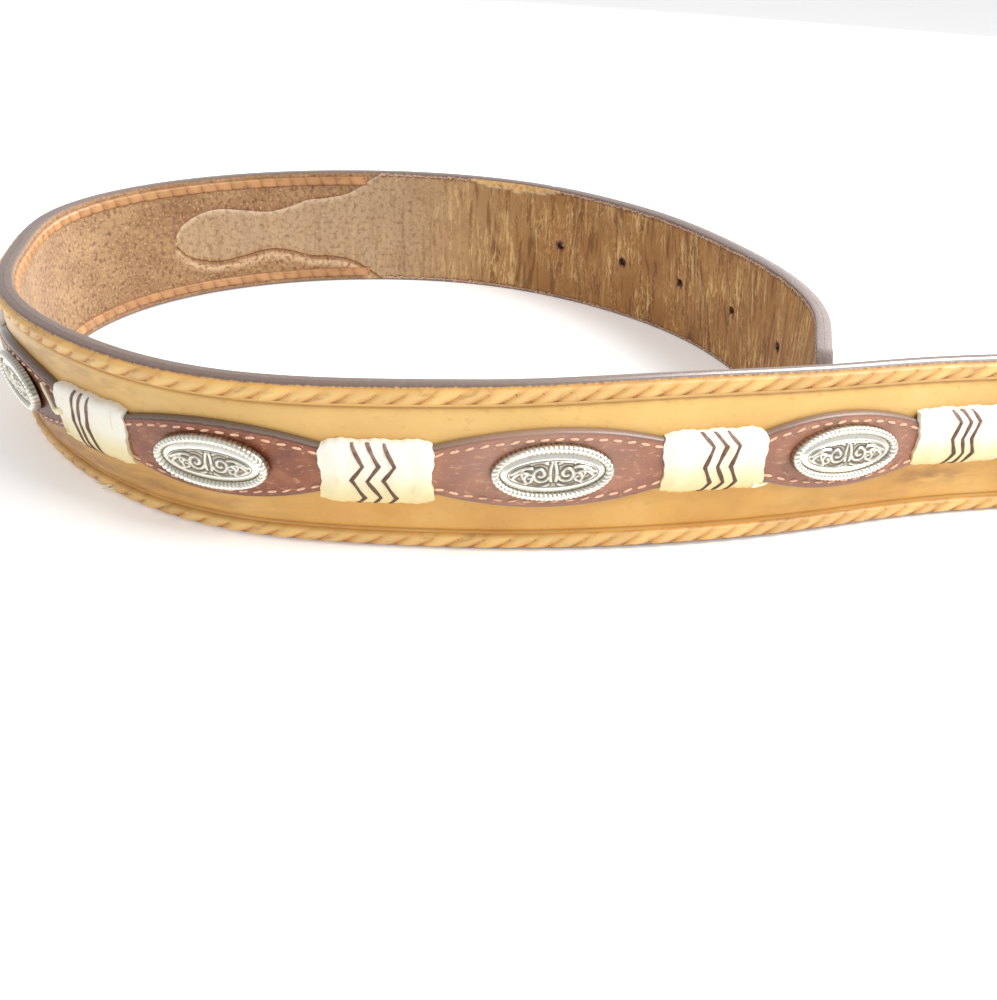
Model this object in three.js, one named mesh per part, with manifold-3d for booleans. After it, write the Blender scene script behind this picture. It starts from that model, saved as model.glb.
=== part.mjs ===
// A western concho belt that stands on its long edge in a loose loop.
// Millimetres, +Z up. The strap's outer face carries oval silver conchos between rawhide wraps.
import * as THREE from 'three';
import Module from 'manifold-3d';
import { mergeVertices } from 'three/addons/utils/BufferGeometryUtils.js';

// Strap: two leather layers, sewn back to back
const STRAP_LENGTH = 1030;
const STRAP_HEIGHT = 38;
const LEATHER = 1.7;
const GAP = 0.3;
const THIN_END = 0.8;

// Outer face: a laced border along each edge and a crowned field between them
const BORDER = 4.7;
const CROWN = 0.6;
const FIELD_SHARES = [0, 0.22, 0.5, 0.78, 1];
const LACE_WIDTH = 3.4;
const LACE_RISE = 0.9;
const LACE_MARGIN = 0.6;
const LINING_LACE_RISE = 0.6;
const LINING_LACE_WIDTH = 2.9;
const LINING_LACE_MARGIN = 1.6;
const LACE_STOP = 0.88;

// Centre strip, rawhide wraps and conchos, all on a line a little over the strap's middle
const STRIP_LINE = 20;
const STRIP_THICKNESS = 1.5;
const STRIP_NECK = 11;
const STRIP_BELLY = 17.5;
const STRIP_TAIL = 3.5;
const STRIP_BEVEL = 0.2;
const LENS_STEPS = 7;
const WRAP_LENGTH = 22.3;
const WRAP_HEIGHT = 14;
const RAWHIDE = 1.0;
const WRAP_ROUNDING = 1.3;
const WRAP_END_DRAW = 0.4;
const WRAP_SHARES = [-1, -0.85, 0, 0.85, 1];
const CONCHO_LENGTH = 25.4;
const CONCHO_HEIGHT = 12.6;
const CONCHO_RISE = 2.0;
const ROPE_EDGE = 1.8;
const CONCHO_SIDES = 18;
const CONCHO_PROFILE = [
  { inset: 0, rise: 0 },
  { inset: 0, rise: 0.3 },
  { inset: 0.4, rise: 0.85 },
  { inset: 0.9, rise: 0.5 },
  { inset: 1.4, rise: 0.65 },
  { inset: 2.4, rise: 1 },
];

// Billets
const HOLE_RADIUS = 1.7;
const HOLE_SIDES = 10;
const TIP_CORNER = 6;
const STEP = 0.05;

// Buckle: a plain frame with its prong, in one piece
const BUCKLE_WIRE = 3.4;
const BUCKLE_THICKNESS = 3.0;
const BUCKLE_OPENING = 27;
const BUCKLE_CLEARANCE = 0.8;
const BUCKLE_CORNER = 5;
const PRONG_WIDTH = 4;
const PRONG_THICKNESS = 2;
const PRONG_SLOT = 7;
const BUCKLE_CORNER_SEGMENTS = 4;
const FOLD_LENGTH = 14;
const FOLD_OVERLAP = 3;
const FOLD_STEP = 0.3;
const FOLD_ANGLE = Math.PI / 3;
const FOLD_SEGMENTS = 8;

// The line that the strap follows on the ground, from the buckle's bar to the tip.
// share: of the strap's length. heading: degrees, 180 runs towards -X. lean: degrees, outwards at the top.
const BENDS = [
  { share: 0.0, heading: 216, lean: 0 },
  { share: 0.12, heading: 211, lean: 0 },
  { share: 0.24, heading: 203, lean: 0 },
  { share: 0.35, heading: 191, lean: 0 },
  { share: 0.39, heading: 199, lean: -3 },
  { share: 0.43, heading: 191, lean: -6 },
  { share: 0.47, heading: 182, lean: 0 },
  { share: 0.51, heading: 174, lean: 5 },
  { share: 0.55, heading: 147, lean: 6 },
  { share: 0.59, heading: 127, lean: 6 },
  { share: 0.63, heading: 103, lean: 0 },
  { share: 0.67, heading: 72, lean: 5 },
  { share: 0.71, heading: 40, lean: 4 },
  { share: 0.75, heading: 17, lean: 3 },
  { share: 0.79, heading: -2, lean: 1 },
  { share: 0.83, heading: -26, lean: -2 },
  { share: 0.87, heading: -45, lean: -7 },
  { share: 0.91, heading: -68, lean: -9 },
  { share: 0.95, heading: -88, lean: -3 },
  { share: 0.975, heading: -103, lean: 1 },
  { share: 1.0, heading: -98, lean: 0 },
];
const LIFT_END_SHARE = 0.33;

// Middles of the rawhide wraps and conchos, as shares of the strap's length
const ORNAMENTS = [
  { wrap: 0.1184, concho: 0.1496 },
  { wrap: 0.1809, concho: 0.212 },
  { wrap: 0.2433, concho: 0.2747 },
  { wrap: 0.3058, concho: 0.337 },
  { wrap: 0.3681, concho: 0.3964 },
  { wrap: 0.425, concho: 0.4582 },
  { wrap: 0.4921, concho: 0.5237 },
  { wrap: 0.5534, concho: 0.5839 },
  { wrap: 0.6154, concho: 0.6466 },
  { wrap: 0.678, concho: 0.709 },
  { wrap: 0.74 },
];
const HOLE_SHARES = [0.838, 0.8633, 0.889, 0.9165, 0.9455];

// Scalloped end of a billet: along from its rounded tip to where it fills the strap's height
const SCALLOP = [
  { along: 0.0, half: 0.1 },
  { along: 0.03, half: 0.24 },
  { along: 0.1, half: 0.38 },
  { along: 0.2, half: 0.46 },
  { along: 0.32, half: 0.41 },
  { along: 0.45, half: 0.34 },
  { along: 0.55, half: 0.4 },
  { along: 0.64, half: 0.51 },
  { along: 0.74, half: 0.54 },
  { along: 0.84, half: 0.62 },
  { along: 0.93, half: 0.82 },
  { along: 1.0, half: 1.0 },
];
const SCALLOPS = {
  tipInside: { tip: 0.7025, full: 0.773 },
  tipOutside: { tip: 0.774, full: 0.833 },
  buckleInside: { tip: 0.19, full: 0.12 },
  buckleOutside: { tip: 0.098, full: 0.04 },
};

const MIDDLE = STRAP_HEIGHT / 2;
const INNER_FACE = -(GAP / 2 + LEATHER);
const OUTER_EDGE = GAP / 2 + LEATHER;
const CROWN_TOP = OUTER_EDGE + CROWN;
const STRIP_BACK = CROWN_TOP + GAP;
const STRIP_TOP = STRIP_BACK + STRIP_THICKNESS;
const CONCHO_BACK = STRIP_TOP + GAP;
const BUCKLE_DROP = BUCKLE_CLEARANCE + BUCKLE_WIRE;

const wasm = await Module();
wasm.setup();

// Cubic curve through a table's column
function readTable(rows, key, column, value) {
  const last = rows.length - 1;
  const next = rows.findIndex((row) => row[key] > value);
  const i = next < 0 ? last - 1 : Math.max(next - 1, 0);
  const slope = (k) => {
    const before = rows[Math.max(k - 1, 0)];
    const after = rows[Math.min(k + 1, last)];
    return (after[column] - before[column]) / (after[key] - before[key]);
  };
  const span = rows[i + 1][key] - rows[i][key];
  const u = THREE.MathUtils.clamp((value - rows[i][key]) / span, 0, 1);
  return (2 * u ** 3 - 3 * u ** 2 + 1) * rows[i][column]
    + (u ** 3 - 2 * u ** 2 + u) * span * slope(i)
    + (3 * u ** 2 - 2 * u ** 3) * rows[i + 1][column]
    + (u ** 3 - u ** 2) * span * slope(i + 1);
}

function bendAt(station, column) {
  const share = THREE.MathUtils.clamp(station / STRAP_LENGTH, 0, 1);
  return THREE.MathUtils.degToRad(readTable(BENDS, 'share', column, share));
}

// The ground line as fine steps, each one turned by the heading halfway along it
const LINE_STEPS = 515;
const LINE_STEP = STRAP_LENGTH / LINE_STEPS;
const line = [new THREE.Vector2(0, 0)];
for (let i = 0; i < LINE_STEPS; i += 1) {
  const heading = bendAt((i + 0.5) * LINE_STEP, 'heading');
  const step = new THREE.Vector2(Math.cos(heading), Math.sin(heading)).multiplyScalar(LINE_STEP);
  line.push(line[i].clone().add(step));
}

function groundPoint(station) {
  const inside = THREE.MathUtils.clamp(station, 0, STRAP_LENGTH);
  const i = Math.min(Math.floor(inside / LINE_STEP), LINE_STEPS - 1);
  const point = line[i].clone().lerp(line[i + 1], inside / LINE_STEP - i);
  const heading = bendAt(station, 'heading');
  const past = station - inside;
  return point.add(new THREE.Vector2(Math.cos(heading) * past, Math.sin(heading) * past));
}

// The buckle is taller than the strap, so the strap rises a little towards it
function liftAt(station) {
  const rise = 1 - THREE.MathUtils.smoothstep(station, 0, LIFT_END_SHARE * STRAP_LENGTH);
  return BUCKLE_DROP * rise;
}

// A place on the belt: station along it, height over its lower edge, out from the mid-plane
function beltPoint(station, height, out) {
  const heading = bendAt(station, 'heading');
  const lean = bendAt(station, 'lean');
  const ground = groundPoint(station);
  const across = out * Math.cos(lean) + height * Math.sin(lean);
  const edgeLift = Math.abs(Math.sin(lean)) * OUTER_EDGE;
  const up = height * Math.cos(lean) - out * Math.sin(lean) + edgeLift + liftAt(station);
  return new THREE.Vector3(
    ground.x - Math.sin(heading) * across,
    ground.y + Math.cos(heading) * across,
    up,
  );
}

// The frame for a rigid piece: x back along the strap, y up its face, z outwards
function beltFrame(station, height, out) {
  const origin = beltPoint(station, height, out);
  const ahead = beltPoint(station + 1, height, out);
  const x = beltPoint(station - 1, height, out).sub(ahead).normalize();
  const up = beltPoint(station, height + 1, out).sub(origin);
  const z = new THREE.Vector3().crossVectors(x, up).normalize();
  const y = new THREE.Vector3().crossVectors(z, x);
  return new THREE.Matrix4().makeBasis(x, y, z).setPosition(origin);
}

function closedGeometry(points, faces) {
  const geometry = new THREE.BufferGeometry();
  const positions = points.flatMap((point) => [point.x, point.y, point.z]);
  geometry.setAttribute('position', new THREE.Float32BufferAttribute(positions, 3));
  let volume = 0;
  const cross = new THREE.Vector3();
  for (const [a, b, c] of faces) {
    volume += cross.crossVectors(points[a], points[b]).dot(points[c]);
  }
  const outward = volume > 0 ? faces : faces.map(([a, b, c]) => [a, c, b]);
  geometry.setIndex(outward.flat());
  return geometry;
}

// A closed body through rings of points, with a flat cap at each end. Every quad is split
// from its lower corner to the next ring's higher one, so that twisted neighbours stay parallel.
function loft(rings, capOutline) {
  const count = capOutline.length;
  const faces = [];
  for (let i = 0; i < rings.length - 1; i += 1) {
    for (let j = 0; j < count; j += 1) {
      const next = (j + 1) % count;
      const [a, b] = [i * count + j, i * count + next];
      if (capOutline[j][0] <= capOutline[next][0]) {
        faces.push([a, b, b + count], [a, b + count, a + count]);
      } else {
        faces.push([a, b, a + count], [b, b + count, a + count]);
      }
    }
  }
  const outline = capOutline.map(([x, y]) => new THREE.Vector2(x, y));
  const lastRing = (rings.length - 1) * count;
  const turn = THREE.ShapeUtils.isClockWise(outline) ? -1 : 1;
  for (const [a, b, c] of THREE.ShapeUtils.triangulateShape(outline, [])) {
    faces.push(turn > 0 ? [a, c, b] : [a, b, c]);
    const far = turn > 0 ? [a, b, c] : [a, c, b];
    faces.push(far.map((k) => lastRing + k));
  }
  return closedGeometry(rings.flat(), faces);
}

// A body along the belt. section(station) lists [height, out] corners, always as many.
function beltLoft(stations, section) {
  const rings = stations.map((station) => (
    section(station).map(([height, out]) => beltPoint(station, height, out))
  ));
  return loft(rings, section(stations[0]));
}

// Stations shared by all long pieces, so that neighbours stay parallel between them
const STATION_STEP = 11;
const MIN_STEP = 0.6;
const onScallop = (share) => Object.values(SCALLOPS).some(({ tip, full }) => (
  (share - tip) * (share - full) < 0
));
const stationCount = Math.round(STRAP_LENGTH / STATION_STEP);
const sharedStations = [];
for (let i = 0; i <= stationCount; i += 1) {
  if (!onScallop(i / stationCount)) {
    sharedStations.push((i / stationCount) * STRAP_LENGTH);
  }
}
for (const { tip, full } of Object.values(SCALLOPS)) {
  for (const { along } of SCALLOP) {
    sharedStations.push(THREE.MathUtils.lerp(tip, full, along) * STRAP_LENGTH);
  }
}
sharedStations.sort((a, b) => a - b);

function stationsBetween(from, to) {
  const stations = [from];
  for (const station of sharedStations) {
    if (station - stations.at(-1) > MIN_STEP && station < to - MIN_STEP) {
      stations.push(station);
    }
  }
  stations.push(to);
  return stations;
}

function toSolid(geometry) {
  const bare = geometry.clone();
  bare.deleteAttribute('normal');
  bare.deleteAttribute('uv');
  const merged = mergeVertices(bare, 1e-5);
  const vertProperties = new Float32Array(merged.attributes.position.array);
  const triVerts = new Uint32Array(merged.index.array);
  return new wasm.Manifold(new wasm.Mesh({ numProp: 3, vertProperties, triVerts }));
}

function fromSolid(solid) {
  const mesh = solid.getMesh();
  const geometry = new THREE.BufferGeometry();
  geometry.setAttribute('position', new THREE.Float32BufferAttribute(mesh.vertProperties, 3));
  geometry.setIndex(Array.from(mesh.triVerts));
  return geometry;
}

// Half the height of a scalloped end at a station
function scallopHalf({ tip, full }, station) {
  const along = (station / STRAP_LENGTH - tip) / (full - tip);
  return readTable(SCALLOP, 'along', 'half', along) * MIDDLE;
}

function scallopStation({ tip, full }, along) {
  return THREE.MathUtils.lerp(tip, full, along) * STRAP_LENGTH;
}

// The room that a scalloped end needs in the layer beside it, between two depths
function scallopRoom(end, lowOut, highOut) {
  const past = Math.sign(end.full - end.tip);
  const bounds = [
    scallopStation(end, 0) - past * GAP,
    scallopStation(end, 1) + past * STATION_STEP,
  ];
  const stations = stationsBetween(Math.min(...bounds), Math.max(...bounds));
  const room = beltLoft(stations, (station) => {
    const half = scallopHalf(end, station) + GAP;
    const wide = half > MIDDLE - THIN_END ? MIDDLE + GAP : half;
    return [
      [MIDDLE - wide, lowOut],
      [MIDDLE + wide, lowOut],
      [MIDDLE + wide, highOut],
      [MIDDLE - wide, highOut],
    ];
  });
  return toSolid(room);
}

// How far out the golden face lies at a height
function faceOut(height) {
  const share = (height - MIDDLE) / (MIDDLE - BORDER);
  return Math.abs(share) >= 1 ? OUTER_EDGE : OUTER_EDGE + CROWN * (1 - share ** 2);
}

function slab(low, high, inner, outer) {
  return [[low, inner], [high, inner], [high, outer], [low, outer]];
}

function makeLining() {
  const from = scallopStation(SCALLOPS.buckleInside, 1);
  const to = scallopStation(SCALLOPS.tipInside, 1);
  const section = () => slab(0, STRAP_HEIGHT, INNER_FACE, -GAP / 2);
  const whole = toSolid(beltLoft(stationsBetween(from, to), section));
  const tipRoom = scallopRoom(SCALLOPS.tipInside, INNER_FACE - LEATHER, 0);
  const buckleRoom = scallopRoom(SCALLOPS.buckleInside, INNER_FACE - LEATHER, 0);
  return fromSolid(whole.subtract(tipRoom).subtract(buckleRoom));
}

function makeFaceLeather() {
  const from = scallopStation(SCALLOPS.buckleOutside, 1);
  const to = scallopStation(SCALLOPS.tipOutside, 1);
  const field = FIELD_SHARES.map((share) => {
    const height = STRAP_HEIGHT - BORDER - share * (STRAP_HEIGHT - 2 * BORDER);
    return [height, faceOut(height)];
  });
  const section = () => [
    [0, GAP / 2],
    [STRAP_HEIGHT, GAP / 2],
    [STRAP_HEIGHT, OUTER_EDGE],
    ...field,
    [0, OUTER_EDGE],
  ];
  const whole = toSolid(beltLoft(stationsBetween(from, to), section));
  const tipRoom = scallopRoom(SCALLOPS.tipOutside, 0, CROWN_TOP + LEATHER);
  const buckleRoom = scallopRoom(SCALLOPS.buckleOutside, 0, CROWN_TOP + LEATHER);
  return fromSolid(whole.subtract(tipRoom).subtract(buckleRoom));
}

// A billet is one leather end: a scalloped leaf inside, another under the outer face's
// level, and full thickness past the golden face's end
function billetSolid(inside, outside, end, capHalf) {
  const joinStation = scallopStation(outside, 1);
  const past = Math.sign(end - joinStation);
  const leafFrom = scallopStation(inside, 0);
  const stations = stationsBetween(Math.min(leafFrom, joinStation), Math.max(leafFrom, joinStation));
  const leaf = stations.map((station) => ({ station, outer: -GAP / 2 }));
  const coreEnds = [joinStation + past * STEP, end];
  const coreStations = stationsBetween(Math.min(...coreEnds), Math.max(...coreEnds));
  const core = coreStations.map((station) => ({ station, outer: OUTER_EDGE }));
  const rows = past > 0 ? [...leaf, ...core] : [...core, ...leaf];
  const rings = rows.map(({ station, outer }) => {
    const half = Math.min(scallopHalf(inside, station), capHalf(station));
    return slab(MIDDLE - half, MIDDLE + half, INNER_FACE, outer)
      .map(([height, out]) => beltPoint(station, height, out));
  });
  const body = toSolid(loft(rings, slab(0, 1, 0, 1)));
  const outerEnds = [scallopStation(outside, 0), joinStation + past * 2 * STEP];
  const outerStations = stationsBetween(Math.min(...outerEnds), Math.max(...outerEnds));
  const outerLeaf = beltLoft(outerStations, (station) => {
    const half = scallopHalf(outside, station) - STEP;
    return slab(MIDDLE - half, MIDDLE + half, GAP / 2, OUTER_EDGE - STEP);
  });
  return body.add(toSolid(outerLeaf));
}

function makeTipBillet() {
  const cornerStart = STRAP_LENGTH - TIP_CORNER;
  const capHalf = (station) => {
    const share = THREE.MathUtils.clamp((station - cornerStart) / TIP_CORNER, 0, 1);
    return MIDDLE - TIP_CORNER * (1 - Math.sqrt(1 - share ** 2));
  };
  let billet = billetSolid(SCALLOPS.tipInside, SCALLOPS.tipOutside, STRAP_LENGTH, capHalf);
  const punch = new THREE.CylinderGeometry(HOLE_RADIUS, HOLE_RADIUS, 8 * LEATHER, HOLE_SIDES);
  punch.rotateX(Math.PI / 2);
  for (const share of HOLE_SHARES) {
    const frame = beltFrame(share * STRAP_LENGTH, MIDDLE, 0);
    billet = billet.subtract(toSolid(punch.clone().applyMatrix4(frame)));
  }
  return fromSolid(billet);
}

// The leather that turns round the buckle's bar, seen from above: station across, out upwards
function makeBuckleBillet() {
  const inner = Math.hypot(BUCKLE_WIRE / 2, BUCKLE_THICKNESS / 2) + GAP;
  const outer = inner + LEATHER;
  const waist = OUTER_EDGE - FOLD_STEP;
  const turn = new THREE.Shape();
  turn.moveTo(FOLD_LENGTH + FOLD_OVERLAP, waist);
  turn.lineTo(FOLD_LENGTH, waist);
  turn.absarc(0, 0, outer, FOLD_ANGLE, 2 * Math.PI - FOLD_ANGLE, false);
  turn.lineTo(FOLD_LENGTH, -waist);
  turn.lineTo(FOLD_LENGTH + FOLD_OVERLAP, -waist);
  const bore = new THREE.Path();
  bore.moveTo(2 * inner, 0);
  bore.lineTo(inner * Math.cos(FOLD_ANGLE), inner * Math.sin(FOLD_ANGLE));
  bore.absarc(0, 0, inner, FOLD_ANGLE, 2 * Math.PI - FOLD_ANGLE, false);
  turn.holes.push(bore);
  const plan = new THREE.ExtrudeGeometry(turn, {
    depth: STRAP_HEIGHT,
    bevelEnabled: false,
    curveSegments: FOLD_SEGMENTS,
  });
  const position = plan.attributes.position;
  for (let i = 0; i < position.count; i += 1) {
    const point = beltPoint(position.getX(i), position.getZ(i), position.getY(i));
    position.setXYZ(i, point.x, point.y, point.z);
  }
  const leaves = billetSolid(
    SCALLOPS.buckleInside,
    SCALLOPS.buckleOutside,
    FOLD_LENGTH,
    () => MIDDLE,
  );
  const slot = new THREE.BoxGeometry(2 * (outer + GAP), PRONG_SLOT, 4 * outer);
  slot.applyMatrix4(beltFrame(0, MIDDLE, 0));
  return fromSolid(leaves.add(toSolid(plan)).subtract(toSolid(slot)));
}

function roundedOutline(outline, left, right, halfHeight, corner) {
  outline.moveTo(left + corner, -halfHeight);
  outline.lineTo(right - corner, -halfHeight);
  outline.absarc(right - corner, corner - halfHeight, corner, -Math.PI / 2, 0, false);
  outline.lineTo(right, halfHeight - corner);
  outline.absarc(right - corner, halfHeight - corner, corner, 0, Math.PI / 2, false);
  outline.lineTo(left + corner, halfHeight);
  outline.absarc(left + corner, halfHeight - corner, corner, Math.PI / 2, Math.PI, false);
  outline.lineTo(left, corner - halfHeight);
  outline.absarc(left + corner, corner - halfHeight, corner, Math.PI, 1.5 * Math.PI, false);
  return outline;
}

// x runs away from the strap, y up, z outwards, with the bar's axis at x = 0
function makeBuckle() {
  const openingHalf = MIDDLE + BUCKLE_CLEARANCE;
  const left = -BUCKLE_WIRE / 2;
  const right = left + 2 * BUCKLE_WIRE + BUCKLE_OPENING;
  const frame = roundedOutline(
    new THREE.Shape(),
    left,
    right,
    openingHalf + BUCKLE_WIRE,
    BUCKLE_CORNER,
  );
  frame.holes.push(roundedOutline(
    new THREE.Path(),
    left + BUCKLE_WIRE,
    right - BUCKLE_WIRE,
    openingHalf,
    BUCKLE_CORNER - BUCKLE_WIRE,
  ));
  const plate = new THREE.ExtrudeGeometry(frame, {
    depth: BUCKLE_THICKNESS,
    bevelEnabled: false,
    curveSegments: BUCKLE_CORNER_SEGMENTS,
  });
  plate.translate(0, 0, -BUCKLE_THICKNESS / 2);
  const prong = new THREE.BoxGeometry(right - left, PRONG_WIDTH, PRONG_THICKNESS);
  prong.translate((left + right) / 2, 0, (BUCKLE_THICKNESS + PRONG_THICKNESS) / 2 - STEP);
  return fromSolid(toSolid(plate).add(toSolid(prong)));
}

// A lace strip lies along one edge: low is its lower side, inner and outer its two faces
function makeLace(ends, low, width, inner, outer) {
  const stations = ends.map((end) => scallopStation(end, LACE_STOP));
  const bevel = (outer - inner) / 2;
  return beltLoft(stationsBetween(...stations), () => [
    [low, inner],
    [low + width, inner],
    [low + width - Math.abs(bevel), outer],
    [low + Math.abs(bevel), outer],
  ]);
}

function makeCentreStrip() {
  const wrapHalf = WRAP_LENGTH / 2;
  const wraps = ORNAMENTS.map(({ wrap }) => wrap * STRAP_LENGTH);
  const stations = [wraps[0] - wrapHalf - STRIP_TAIL];
  wraps.forEach((wrap, i) => {
    stations.push(wrap - wrapHalf, wrap, wrap + wrapHalf);
    const next = wraps[i + 1];
    for (let k = 1; next && k < LENS_STEPS; k += 1) {
      stations.push(THREE.MathUtils.lerp(wrap + wrapHalf, next - wrapHalf, k / LENS_STEPS));
    }
  });
  stations.push(wraps.at(-1) + wrapHalf + STRIP_TAIL);
  const halfAt = (station) => {
    const i = wraps.findIndex((wrap) => wrap > station);
    if (i < 1) {
      return STRIP_NECK / 2;
    }
    const middle = (wraps[i - 1] + wraps[i]) / 2;
    const reach = (wraps[i] - wraps[i - 1]) / 2 - wrapHalf;
    const share = Math.min(Math.abs(station - middle) / reach, 1);
    return STRIP_NECK / 2 + (STRIP_BELLY - STRIP_NECK) / 2 * (1 - share ** 2);
  };
  return beltLoft(stations, (station) => {
    const half = halfAt(station);
    const bevel = STRIP_THICKNESS * STRIP_BEVEL;
    return [
      [STRIP_LINE - half, STRIP_BACK],
      [STRIP_LINE + half, STRIP_BACK],
      [STRIP_LINE + half - bevel, STRIP_TOP],
      [STRIP_LINE - half + bevel, STRIP_TOP],
    ];
  });
}

// A rawhide wrap bridges the centre strip and closes on the golden face
function makeWrap(station) {
  const top = STRIP_TOP + GAP + RAWHIDE;
  const inside = STRIP_NECK / 2 + GAP;
  const stations = WRAP_SHARES.map((share) => station + share * WRAP_LENGTH / 2);
  return beltLoft(stations, (place) => {
    const share = Math.abs(place - station) / (WRAP_LENGTH / 2);
    const half = WRAP_HEIGHT / 2 - (share > 0.9 ? WRAP_END_DRAW : 0);
    const crest = top - (share > 0.9 ? WRAP_END_DRAW : 0);
    const foot = (side) => faceOut(STRIP_LINE + side) + GAP;
    const shoulder = crest - WRAP_ROUNDING;
    return [
      [STRIP_LINE - half, foot(-half)],
      [STRIP_LINE - half, shoulder],
      [STRIP_LINE - half + WRAP_ROUNDING, crest],
      [STRIP_LINE + half - WRAP_ROUNDING, crest],
      [STRIP_LINE + half, shoulder],
      [STRIP_LINE + half, foot(half)],
      [STRIP_LINE + inside, foot(inside)],
      [STRIP_LINE + inside, STRIP_TOP + GAP],
      [STRIP_LINE - inside, STRIP_TOP + GAP],
      [STRIP_LINE - inside, foot(-inside)],
    ];
  });
}

// An oval concho: rope edge, plain groove and a low domed middle, flat at the back
function makeConcho() {
  const halfLength = CONCHO_LENGTH / 2;
  const halfHeight = CONCHO_HEIGHT / 2;
  const oval = (inset, rise) => {
    const ring = [];
    for (let k = 0; k < CONCHO_SIDES; k += 1) {
      const angle = (k / CONCHO_SIDES) * 2 * Math.PI;
      const x = (halfLength - inset) * Math.cos(angle);
      const y = (halfHeight - inset) * Math.sin(angle);
      ring.push(new THREE.Vector3(x, y, rise));
    }
    return ring;
  };
  const rings = CONCHO_PROFILE.map(({ inset, rise }) => (
    oval(inset * ROPE_EDGE, rise * CONCHO_RISE)
  ));
  return loft(rings, oval(0, 0).map(({ x, y }) => [x, y]));
}

const colours = {
  sueded: { color: 0xa5825a, roughness: 0.95, metalness: 0 },
  golden: { color: 0xe0ac50, roughness: 0.6, metalness: 0 },
  lace: { color: 0xd99a4c, roughness: 0.6, metalness: 0 },
  billet: { color: 0x84502f, roughness: 0.7, metalness: 0 },
  chestnut: { color: 0x77432e, roughness: 0.55, metalness: 0 },
  rawhide: { color: 0xf2ead0, roughness: 0.5, metalness: 0 },
  silver: { color: 0xb9b8b2, roughness: 0.35, metalness: 1 },
  steel: { color: 0xc4c4c2, roughness: 0.3, metalness: 1 },
};

const belt = new THREE.Group();

function addPiece(name, geometry, colour) {
  const mesh = new THREE.Mesh(geometry, new THREE.MeshStandardMaterial(colour));
  mesh.name = name;
  belt.add(mesh);
  return mesh;
}

addPiece('lining', makeLining(), colours.sueded);
addPiece('face_leather', makeFaceLeather(), colours.golden);
addPiece('tip_billet', makeTipBillet(), colours.billet);
addPiece('buckle_billet', makeBuckleBillet(), colours.billet);
addPiece('buckle', makeBuckle(), colours.steel).applyMatrix4(beltFrame(0, MIDDLE, 0));
addPiece('centre_strip', makeCentreStrip(), colours.chestnut);

const laceBack = OUTER_EDGE + GAP;
const laceFront = laceBack + LACE_RISE;
const liningLaceBack = INNER_FACE - GAP;
const liningLaceFront = liningLaceBack - LINING_LACE_RISE;
const faceEnds = [SCALLOPS.buckleOutside, SCALLOPS.tipOutside];
const liningEnds = [SCALLOPS.buckleInside, SCALLOPS.tipInside];
const topOf = (margin, width) => STRAP_HEIGHT - margin - width;
for (const [name, low] of [['bottom', LACE_MARGIN], ['top', topOf(LACE_MARGIN, LACE_WIDTH)]]) {
  const lace = makeLace(faceEnds, low, LACE_WIDTH, laceBack, laceFront);
  addPiece(`face_lace_${name}`, lace, colours.lace);
}
const liningLaceTop = topOf(LINING_LACE_MARGIN, LINING_LACE_WIDTH);
for (const [name, low] of [['bottom', LINING_LACE_MARGIN], ['top', liningLaceTop]]) {
  const lace = makeLace(liningEnds, low, LINING_LACE_WIDTH, liningLaceBack, liningLaceFront);
  addPiece(`lining_lace_${name}`, lace, colours.lace);
}

ORNAMENTS.forEach(({ wrap, concho }, i) => {
  addPiece(`rawhide_wrap_${i + 1}`, makeWrap(wrap * STRAP_LENGTH), colours.rawhide);
  if (concho) {
    const frame = beltFrame(concho * STRAP_LENGTH, STRIP_LINE, CONCHO_BACK);
    addPiece(`concho_${i + 1}`, makeConcho(), colours.silver).applyMatrix4(frame);
  }
});

// The origin lies on the ground under the middle of the belt's box
const box = new THREE.Box3().setFromObject(belt);
const middle = box.getCenter(new THREE.Vector3());
belt.position.set(-middle.x, -middle.y, -box.min.z);

export default belt;
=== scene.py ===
# %% [markdown]
# # A western concho belt, standing on its edge
# The belt is a strap of two leathers, bent into a loose loop. Its outer side carries a thick brown
# strip, oval silver conchos and rawhide wraps. Almost everything on it follows the strap, so the
# lesson builds flat shapes in the strap's own coordinates and bends them all with one function.

import bpy
import numpy as np
from mathutils import Matrix, Vector


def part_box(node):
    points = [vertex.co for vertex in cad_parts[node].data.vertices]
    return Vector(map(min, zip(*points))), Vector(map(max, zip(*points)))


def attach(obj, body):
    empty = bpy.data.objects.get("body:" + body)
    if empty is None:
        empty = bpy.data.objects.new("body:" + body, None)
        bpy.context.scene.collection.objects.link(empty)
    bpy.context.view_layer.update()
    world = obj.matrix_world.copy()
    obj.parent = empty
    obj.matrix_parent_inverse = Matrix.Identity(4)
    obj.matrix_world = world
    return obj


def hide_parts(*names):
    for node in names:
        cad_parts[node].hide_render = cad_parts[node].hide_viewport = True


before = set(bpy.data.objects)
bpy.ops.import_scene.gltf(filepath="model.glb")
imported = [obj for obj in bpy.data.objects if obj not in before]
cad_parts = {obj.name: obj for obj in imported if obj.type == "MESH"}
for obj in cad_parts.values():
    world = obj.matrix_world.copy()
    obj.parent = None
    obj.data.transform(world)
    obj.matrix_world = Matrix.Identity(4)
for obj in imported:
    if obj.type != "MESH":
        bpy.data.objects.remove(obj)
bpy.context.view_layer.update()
MM = 0.001

# %% [markdown]
# ## The line that the strap follows
# A strap that stands on its edge bends only sideways, so its shape is one line on the ground. The
# table lists the direction of that line, and how far the strap leans outwards, at shares of its
# length. A cubic curve through the table gives both everywhere, and adding up short steps in that
# direction gives the line. This keeps the length right however the strap is bent.

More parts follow.
